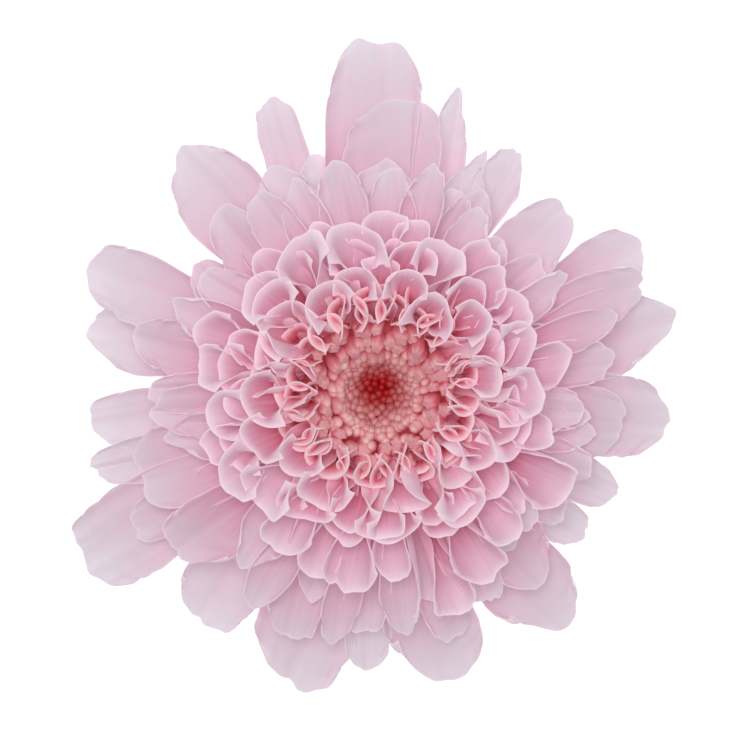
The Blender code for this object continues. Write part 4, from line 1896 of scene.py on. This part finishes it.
@dataclass
class DiscFlorets:
    """The closed florets of the disc and the young ones round them, on their dished base.

    Attributes:
        count: Number of closed florets.
        radius: Radius of the outermost ones.
        heart: Height of the dish in its middle.
        rim: Height of its rim.
        rim_share: Share of the radius at which the dish has its full height.
        widths: Width of a floret in the heart and at the rim.
        lengths: Length of a floret in the heart and at the rim.
        sunk: Share of its length that a floret's foot is sunk.
        incurve: How far the rim's florets lean inwards, as a slope.
        droop: How far they lean towards -Y, as a slope.
        rings: The rings of larger florets.
        young_depth: Thickness of these, as a share of their width.
        seed: Seed of their irregularities.
    """

    count: int = 150
    radius: float = 5.9
    heart: float = 13.2
    rim: float = 15.0
    rim_share: float = 0.9
    widths: Pair = (1.15, 1.5)
    lengths: Pair = (1.0, 3.0)
    sunk: float = 0.2
    incurve: float = 0.5
    droop: float = 0.32
    rings: tuple[BudRing, ...] = (
        BudRing(24, 5.7, 14.3, 1.4, 3.5, 0.50, 0.30, Bud.CLOSED),
        BudRing(29, 6.6, 14.4, 1.6, 4.0, 0.38, 0.24, Bud.CLOSED),
        BudRing(31, 7.4, 14.4, 1.9, 4.6, 0.32, 0.18, Bud.YOUNG),
        BudRing(30, 8.6, 14.2, 2.1, 5.4, 0.24, 0.14, Bud.YOUNG),
    )
    young_depth: float = 0.9
    seed: int = 7

    SKIRT: ClassVar[Profile] = ((7.9, 12.8), (8.8, 14.2), (8.2, 14.8))  # outside the dish
    DISH_SHARES: ClassVar[tuple[float, ...]] = (1.0, 0.8, 0.6, 0.4, 0.2, 0.02)  # of its radius
    DISH_DROP: ClassVar[float] = 0.1  # how much lower than the florets' own dish it is
    BASE_SIDES: ClassVar[int] = 48

    RINGS_OF_FACES: ClassVar[int] = 6
    LOBES: ClassVar[int] = 5
    LOBE_START: ClassVar[float] = 0.45  # height from which a floret is lobed
    LOBE_GROWTH: ClassVar[float] = 0.4  # height over which its lobes reach their depth
    FOOT_WIDTH: ClassVar[float] = 0.66  # as a share of the widest
    FOOT_HEIGHT: ClassVar[float] = 0.75  # height over which it widens
    SLANT_START: ClassVar[float] = 0.6  # height from which it slants
    TIP_START: ClassVar[float] = 0.99  # height from which the dimple lies

    GOLDEN_ANGLE: ClassVar[float] = math.radians(137.508)
    BUD_TURN: ClassVar[float] = 0.05  # most that a closed floret stands off its angle, in radians
    BUD_LEAN: ClassVar[float] = 0.12  # most that it leans off its way, as a slope
    BUD_WIDTHS: ClassVar[Pair] = (0.88, 1.12)  # least and most, as shares of its own
    BUD_LENGTHS: ClassVar[Pair] = (0.85, 1.15)

    RING_TURN: ClassVar[float] = 0.25  # most that a ring's floret stands off, in spacings
    RING_SHIFT: ClassVar[float] = 0.35  # the same along the radius
    RING_LEAN: ClassVar[float] = 0.18  # most that it leans off its way, as a slope
    RING_SKEW: ClassVar[float] = 0.2  # the same sideways
    RING_WIDTHS: ClassVar[Pair] = (0.85, 1.15)  # least and most, as shares of its own
    RING_LENGTHS: ClassVar[Pair] = (0.82, 1.12)

    def build(self) -> None:
        """Builds the base, the closed florets and the rings as three pieces with one finish."""
        material = self._finish()
        seat(self._base(), material, "disc_florets")
        draw = random.Random(self.seed)
        for name, parts in (("disc_buds", self._buds(draw)), ("young_florets", self._young(draw))):
            joined = Bench.join(parts, name)
            Bench.smooth(joined)
            seat(joined, material, "disc_florets")

    def _dish_height(self, share: float) -> float:
        """Height of the dish at a share of its radius."""
        return self.heart + (self.rim - self.heart) * min(share / self.rim_share, 1) ** 1.5

    def _base(self) -> bpy.types.Object:
        """The dished base that the florets stand on.

        Returns:
            The base, marked for the florets' finish.
        """
        profile = list(self.SKIRT)
        for share in self.DISH_SHARES:
            profile.append((self.radius * share, self._dish_height(share) - self.DISH_DROP))
        base = Bench.turned("disc_base", tuple(profile), self.BASE_SIDES)
        # tip 0 gives the base the florets' foot colour: partly their own deep red, partly painted shade
        # between them
        for name in ("tip", "tone"):
            Bench.mark(base.data, name, np.zeros(len(base.data.vertices)))
        Bench.smooth(base, 60)
        return base

    def _bud(self, form: BudForm) -> bpy.types.Object:
        """One floret: a sphere drawn out, narrowed at the foot and lobed towards its tip.

        Args:
            form: Its form.

        Returns:
            The floret, 1 wide and long.
        """
        Bench.clear_selection()
        bpy.ops.mesh.primitive_uv_sphere_add(
            segments=form.sides, ring_count=self.RINGS_OF_FACES, radius=0.5
        )
        stock = bpy.context.object
        points = Bench.points(stock.data)
        height = points[:, 2] + 0.5
        angle = np.arctan2(points[:, 1], points[:, 0])
        lobed = smooth_step((height - self.LOBE_START) / self.LOBE_GROWTH)
        lobes = 1 + form.lobe * np.cos(self.LOBES * angle) * lobed
        slim = self.FOOT_WIDTH + (1 - self.FOOT_WIDTH) * smooth_step(height / self.FOOT_HEIGHT)
        points[:, :2] *= (lobes * slim)[:, None]
        height = np.minimum(height, form.top) - form.dimple * (height > self.TIP_START)
        points[:, 2] = height + form.slant * points[:, 0] * (height > self.SLANT_START)
        Bench.set_points(stock.data, points)
        # tip runs from 0 at the foot, which the finish paints partly as shade between the florets, up to
        # the pale tip
        Bench.mark(stock.data, "tip", height * form.paleness)
        return stock

    def _place(
        self,
        stock: bpy.types.Object,
        spot: Vector,
        way: Vector,
        sizes: Triple,
        draw: random.Random,
    ) -> bpy.types.Object:
        """A copy of a floret at its place on the disc.

        Args:
            stock: The floret.
            spot: Where its foot stands.
            way: The way it points.
            sizes: Its width both ways and its length.
            draw: Source of its spin and tone.

        Returns:
            The copy.
        """
        part = Bench.copy(stock, stock.name)
        size = Matrix.Diagonal((*(value * MM for value in sizes), 1.0))
        spin = Matrix.Rotation(draw.uniform(0, math.tau), 4, "Z")
        pointing = way.to_track_quat("Z", "Y").to_matrix().to_4x4()
        part.data.transform(Matrix.Translation(spot * MM) @ pointing @ spin @ size)
        Bench.mark(part.data, "tone", np.full(len(part.data.vertices), draw.uniform(-1, 1)))
        return part

    def _buds(self, draw: random.Random) -> list[bpy.types.Object]:
        """Copies the closed floret over the dish, turned by the golden angle each time.

        Args:
            draw: Source of the copies' irregularities.

        Returns:
            The copies.
        """
        stock = self._bud(Bud.CLOSED.value)
        parts = []
        for number in range(self.count):
            share = math.sqrt((number + 0.5) / self.count)
            radius = self.radius * share
            turn = number * self.GOLDEN_ANGLE + draw.uniform(-self.BUD_TURN, self.BUD_TURN)
            width = self.widths[0] + (self.widths[1] - self.widths[0]) * share
            width *= draw.uniform(*self.BUD_WIDTHS)
            length = self.lengths[0] + (self.lengths[1] - self.lengths[0]) * share**2
            length *= draw.uniform(*self.BUD_LENGTHS)
            inwards = self.incurve * share**2 + draw.uniform(-self.BUD_LEAN, self.BUD_LEAN)
            way = Vector((-inwards * math.cos(turn), -inwards * math.sin(turn) - self.droop * share, 1.0))
            foot = self._dish_height(share) - self.sunk * length
            spot = Vector((radius * math.cos(turn), radius * math.sin(turn), foot))
            parts.append(self._place(stock, spot, way, (width, width, length * (1 + self.sunk)), draw))
        bpy.data.objects.remove(stock, do_unlink=True)
        return parts

    def _young(self, draw: random.Random) -> list[bpy.types.Object]:
        """Copies the larger florets round each ring: closed ones first, young ones outermost.

        Args:
            draw: Source of the copies' irregularities.

        Returns:
            The copies.
        """
        stocks = {kind: self._bud(kind.value) for kind in Bud}
        parts = []
        for ring in self.rings:
            for number in range(ring.count):
                place = number + draw.uniform(-self.RING_TURN, self.RING_TURN)
                turn = math.tau * place / ring.count + ring.radius  # so that no two rings line up
                radius = ring.radius + draw.uniform(-self.RING_SHIFT, self.RING_SHIFT)
                inwards = ring.incurve + draw.uniform(-self.RING_LEAN, self.RING_LEAN)
                skew = draw.uniform(-self.RING_SKEW, self.RING_SKEW)
                across = -inwards * math.cos(turn) - skew * math.sin(turn)
                up = -inwards * math.sin(turn) + skew * math.cos(turn) - ring.droop
                spot = Vector((radius * math.cos(turn), radius * math.sin(turn), ring.height))
                width = ring.width * draw.uniform(*self.RING_WIDTHS)
                length = ring.length * draw.uniform(*self.RING_LENGTHS)
                sizes = (width, width * self.young_depth, length)
                parts.append(self._place(stocks[ring.bud], spot, Vector((across, up, 1.0)), sizes, draw))
        for stock in stocks.values():
            bpy.data.objects.remove(stock, do_unlink=True)
        return parts

    @staticmethod
    def _finish() -> bpy.types.Material:
        """Rose buds with creamy tips and deep red towards the heart; each is darker towards its foot,
        partly its own colour and partly painted shade between the florets, and all give off a dim painted
        glow.

        Returns:
            The material.
        """
        graph = Graph("disc bud")
        place = graph.place()
        flat = graph.node("VectorMath", {"operation": "MULTIPLY"}, {0: place, 1: (1.0, 1.0, 0.0)})
        radius = graph.node("VectorMath", {"operation": "LENGTH"}, {0: flat}, "Value") * (1 / MM)
        tone = graph.attribute("tone")
        noise = graph.noise(place, 900.0, 3.0)
        # from each floret's deep foot colour, partly its own and partly painted shade between the
        # florets, up to its creamy tip
        along = graph.attribute("tip") + tone * 0.05 + (noise - 0.5) * 0.12
        far = graph.node(
            "ValToRGB",
            {
                "stops": (
                    (0.0, srgb(204, 72, 84)),
                    (0.35, srgb(212, 106, 118)),
                    (0.60, srgb(218, 130, 141)),
                    (0.80, srgb(229, 163, 169)),
                    (1.0, srgb(240, 199, 196)),
                )
            },
            {"Fac": along},
        )
        near = graph.node(
            "ValToRGB",
            {
                "stops": (
                    (0.0, srgb(150, 0, 8)),
                    (0.55, srgb(160, 2, 12)),
                    (0.9, srgb(170, 14, 22)),
                    (1.0, srgb(178, 30, 36)),
                )
            },
            {"Fac": along},
        )
        colour = graph.mix(graph.smooth(radius + tone * 0.4, 0.8, 6.0), near, far)
        return graph.shade(
            Base_Color=colour,
            Roughness=0.40 + noise * 0.12,
            Normal=graph.bump(noise, 0.4, 0.00008),
            Subsurface_Weight=0.35,
            Subsurface_Radius=(1.0, 0.6, 0.6),
            Subsurface_Scale=0.0005,
            Specular_IOR_Level=0.35,
            # Painted glow: the florets give off a dimmed copy of their colour as light, which lifts their
            # shade
            Emission_Color=graph.mix(PAINTED_GLOW_DIMMING, colour, BLACK),
            Emission_Strength=PAINTED_GLOW_STRENGTH,
        )


@dataclass
class BractRow:
    """One ring of green bracts.

    Attributes:
        foot: Radius and height of a bract's foot.
        tip: Radius and height of its tip.
        count: Number of bracts.
    """

    foot: Pair
    tip: Pair
    count: int


@dataclass
class GreenCup:
    """The stalk end and the cup of bracts under the bloom.

    Attributes:
        rows: The rings of bracts, lower one first.
        width: Width that the bracts' own widths are shares of.
        foot_share: Width at a bract's foot, as a share of it.
        widening: What the width gains towards the tip, as a share of it.
        thickness: Thickness of a bract.
        cells: Faces along and across a bract.
        rib_count: Number of the stalk's ribs.
        rib_height: Their height, as a share of the radius.
        rib_top: Height at which they have faded out.
        seed: Seed of their irregularities.
    """

    rows: tuple[BractRow, ...] = (
        BractRow((3.2, 3.9), (8.9, 5.3), 11),
        BractRow((4.5, 4.9), (9.6, 6.6), 12),
    )
    width: float = 3.4
    foot_share: float = 0.6
    widening: float = 0.65
    thickness: float = 0.45
    cells: tuple[int, int] = (16, 12)
    rib_count: int = 7
    rib_height: float = 0.03
    rib_top: float = 4.2
    seed: int = 3

    RIB_FADING: ClassVar[float] = 2.0  # height over which the ribs fade out
    ROW_TURN: ClassVar[float] = 0.3  # how far the upper row is turned past the lower, in radians
    BRACT_TURN: ClassVar[float] = 0.08  # most that a bract stands off its place, in spacings
    SPREADS: ClassVar[Pair] = (0.96, 1.03)  # least and most reach of a tip, beside its row's
    MARGIN_START: ClassVar[float] = 0.72  # where the papery margin starts, as a share
    TIP_MARGIN: ClassVar[float] = 1.02  # how much nearer the tip it starts than the sides
    TONE: ClassVar[float] = 0.6  # most that a bract's tone differs
    TONES: ClassVar[float] = 7.0  # waves of it round the cup
    TIP_BACK: ClassVar[float] = 0.12  # how much shorter a bract is at its sides
    TURN_OUT: ClassVar[float] = 1.6  # 1 for a straight bract, more for one turned up at its tip
    NARROWING: ClassVar[float] = 0.9  # 1 for a pointed tip
    KEEL: ClassVar[float] = 0.12  # height of a bract's lengthwise fold
    STALK_SIDES: ClassVar[int] = 70
    STALK_PROFILE: ClassVar[Profile] = (
        (2.22, 0.0),
        (2.3, 0.12),
        (2.3, 1.3),
        (2.9, 2.3),
        (3.9, 3.1),
        (5.4, 3.7),
        (6.8, 4.5),
        (7.5, 5.5),
        (7.3, 6.4),
        (6.6, 6.8),
        (0.5, 6.8),
    )

    def build(self) -> None:
        """Builds the stalk with its cup, and the bracts, as two pieces with one finish."""
        material = self._finish()
        for piece in (self._stalk(), self._bracts()):
            seat(piece, material, "stalk_and_bracts")

    def _stalk(self) -> bpy.types.Object:
        """The stalk end, ribbed, widening into the cup.

        Returns:
            The stalk, marked for the green finish.
        """
        stalk = Bench.turned("stalk", self.STALK_PROFILE, self.STALK_SIDES)
        points = Bench.points(stalk.data)
        angle = np.arctan2(points[:, 1], points[:, 0])
        fading = smooth_step((self.rib_top - points[:, 2] / MM) / self.RIB_FADING)
        points[:, :2] *= (1 + self.rib_height * np.cos(self.rib_count * angle) * fading)[:, None]
        Bench.set_points(stalk.data, points)
        for name in ("tone", "margin"):
            Bench.mark(stalk.data, name, np.zeros(len(points)))
        Bench.smooth(stalk, 50)
        return stalk

    def _bracts(self) -> bpy.types.Object:
        """Rings of bracts pressed to the cup, with their tips turned out.

        Returns:
            The joined bracts, marked for the green finish.
        """
        stock = Bench.grid(self.cells)
        flat = Bench.points(stock.data)
        across = flat[:, 0]
        along = flat[:, 1] / 2 + 0.5
        draw = random.Random(self.seed)
        parts = []
        for row_number, row in enumerate(self.rows):
            for number in range(row.count):
                place = number + draw.uniform(-self.BRACT_TURN, self.BRACT_TURN)
                turn = math.tau * place / row.count + self.ROW_TURN * row_number
                spread = draw.uniform(*self.SPREADS)
                part = Bench.copy(stock, "bracts")
                Bench.set_points(part.data, self._bract_points(across, along, turn, row, spread))
                edge = np.maximum(np.abs(across), 1 - (1 - along) * self.TIP_MARGIN)
                Bench.mark(part.data, "margin", smooth_step(past(edge, self.MARGIN_START)))
                tone = self.TONE * math.sin(self.TONES * turn)
                Bench.mark(part.data, "tone", np.full(len(across), tone))
                parts.append(part)
        bpy.data.objects.remove(stock, do_unlink=True)
        joined = Bench.join(parts, "bracts")
        Bench.apply(joined, "SOLIDIFY", thickness=self.thickness * MM, offset=-1.0)
        Bench.smooth(joined)
        return joined

    def _bract_points(self, across: Grid, along: Grid, turn: float, row: BractRow, spread: float) -> Grid:
        """Points of one bract's inner face.

        Args:
            across: Places from -1 to 1 across the bract.
            along: Places from 0 to 1 along it.
            turn: Its angle about the axis.
            row: Its ring.
            spread: How far out its tip is, beside the ring's.

        Returns:
            The points in metres.
        """
        at = along * (1 - self.TIP_BACK * across**2 * along)
        out = row.foot[0] + (row.tip[0] * spread - row.foot[0]) * at
        height = row.foot[1] + (row.tip[1] - row.foot[1]) * at**self.TURN_OUT
        widths = self.foot_share + self.widening * along
        half_width = self.width / 2 * widths * np.sqrt(1 - self.NARROWING * along**3)
        side = across * half_width
        out = out - side**2 / (2 * out)
        height = height + self.KEEL * np.cos(across * math.pi) * along
        x = out * np.cos(turn) + side * np.sin(turn)
        y = out * np.sin(turn) - side * np.cos(turn)
        return np.stack((x, y, height), axis=1) * MM

    @staticmethod
    def _finish() -> bpy.types.Material:
        """Waxy, blotched green tissue with pale papery margins.

        Returns:
            The material.
        """
        graph = Graph("green tissue")
        place = graph.place()
        blotch = graph.noise(place, 420.0, 4.0)
        fine = graph.noise(place, 3200.0, 2.0)
        green = graph.mix(blotch, srgb(86, 112, 52), srgb(140, 160, 92))
        dull = graph.smooth(graph.attribute("tone") + blotch, 0.2, 1.4) * 0.35
        tinted = graph.mix(dull, green, srgb(128, 134, 88))
        return graph.shade(
            Base_Color=graph.mix(graph.attribute("margin") * 0.75, tinted, srgb(206, 202, 168)),
            Roughness=0.45 + fine * 0.15,
            Normal=graph.bump(blotch + fine * 0.3, 0.5, 0.0001),
            Specular_IOR_Level=0.4,
        )


@dataclass
class Studio:
    """Camera at the photograph's angle, soft light and a plain pale floor.

    Attributes:
        distance: From the camera to the heart of the disc.
        scale: Pixels to the millimetre at the heart.
        frame: Width of the picture in pixels.
        heart_pixel: Where the heart of the disc stands in the picture.
        sensor: Width of the camera's sensor.
        floor_size: Length of the floor's sides in metres.
        floor_drop: How far it lies under the stalk's cut face.
        floor_glow: Strength of the floor's own light.
        sky: Colour of the sky.
        sky_strength: Its strength.
        lamp_place: Where the lamp stands, in metres.
        lamp_size: Its width in metres.
        lamp_power: Its power in watts.
    """

    distance: float = 600.0
    scale: float = 8.4
    frame: float = 750.0
    heart_pixel: Pair = (378.0, 388.0)
    sensor: float = 36.0
    floor_size: float = 3.0
    floor_drop: float = 0.1
    floor_glow: float = 0.66
    sky: Triple = (0.96, 0.97, 1.0)
    sky_strength: float = 0.40
    lamp_place: Triple = (-0.06, 0.16, 0.7)
    lamp_size: float = 0.35
    lamp_power: float = 2.05

    def build(self) -> None:
        """Sets up the view, the floor and the lights."""
        self._camera()
        self._floor()
        self._lights()
        bpy.context.scene.view_settings.view_transform = "Standard"

    def _camera(self) -> None:
        """Looks down on the bloom with its lean."""
        up = Vector((0.0, math.cos(LEAN), -math.sin(LEAN)))
        back = Vector((0.0, math.sin(LEAN), math.cos(LEAN)))
        right_shift = (self.frame / 2 - self.heart_pixel[0]) / self.scale
        up_shift = (self.heart_pixel[1] - self.frame / 2) / self.scale
        aim = Vector((right_shift, 0.0, HEART_HEIGHT)) + up * up_shift
        data = bpy.data.cameras.new("camera")
        data.sensor_width = self.sensor
        data.lens = self.sensor * self.distance * self.scale / self.frame
        camera = bpy.data.objects.new("camera", data)
        camera.location = (aim + back * self.distance) * MM
        camera.rotation_euler = (-LEAN, 0.0, 0.0)
        bpy.context.scene.collection.objects.link(camera)
        bpy.context.scene.camera = camera

    def _floor(self) -> None:
        """A wide pale sheet that the stalk's cut face stands on."""
        Bench.clear_selection()
        place = (0.0, 0.0, -self.floor_drop * MM)
        bpy.ops.mesh.primitive_plane_add(size=self.floor_size, location=place)
        floor = bpy.context.object
        floor.name = "floor"
        graph = Graph("pale floor")
        over = graph.place()
        cloud = graph.node("TexNoise", {}, {"Vector": over, "Scale": 6.0})
        material = graph.shade(
            Base_Color=graph.mix(cloud, (0.90, 0.90, 0.90), (0.93, 0.93, 0.93)),
            Roughness=0.9,
            Emission_Color=(1.0, 1.0, 1.0),
            Emission_Strength=self.floor_glow,
        )
        floor.data.materials.append(material)

    def _lights(self) -> None:
        """A bright even sky and one large soft lamp above, close to the camera's direction."""
        world = bpy.data.worlds.new("studio")
        world.use_nodes = True
        background = world.node_tree.nodes["Background"]
        background.inputs["Color"].default_value = (*self.sky, 1.0)
        background.inputs["Strength"].default_value = self.sky_strength
        bpy.context.scene.world = world
        lamp = bpy.data.lights.new("key", "AREA")
        lamp.shape = "DISK"
        lamp.size = self.lamp_size
        lamp.energy = self.lamp_power
        key = bpy.data.objects.new("key", lamp)
        key.location = self.lamp_place
        key.rotation_euler = (-Vector(self.lamp_place)).to_track_quat("-Z", "Y").to_euler()
        bpy.context.scene.collection.objects.link(key)


def main() -> None:
    """Builds the bloom's pieces in order and sets up the studio."""
    logging.basicConfig(level=logging.INFO, format="%(name)s: %(message)s")
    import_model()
    GreenCup().build()
    Receptacle().build()
    RayFlorets().build()
    DiscFlorets().build()
    Studio().build()


if __name__ == "__main__":
    main()
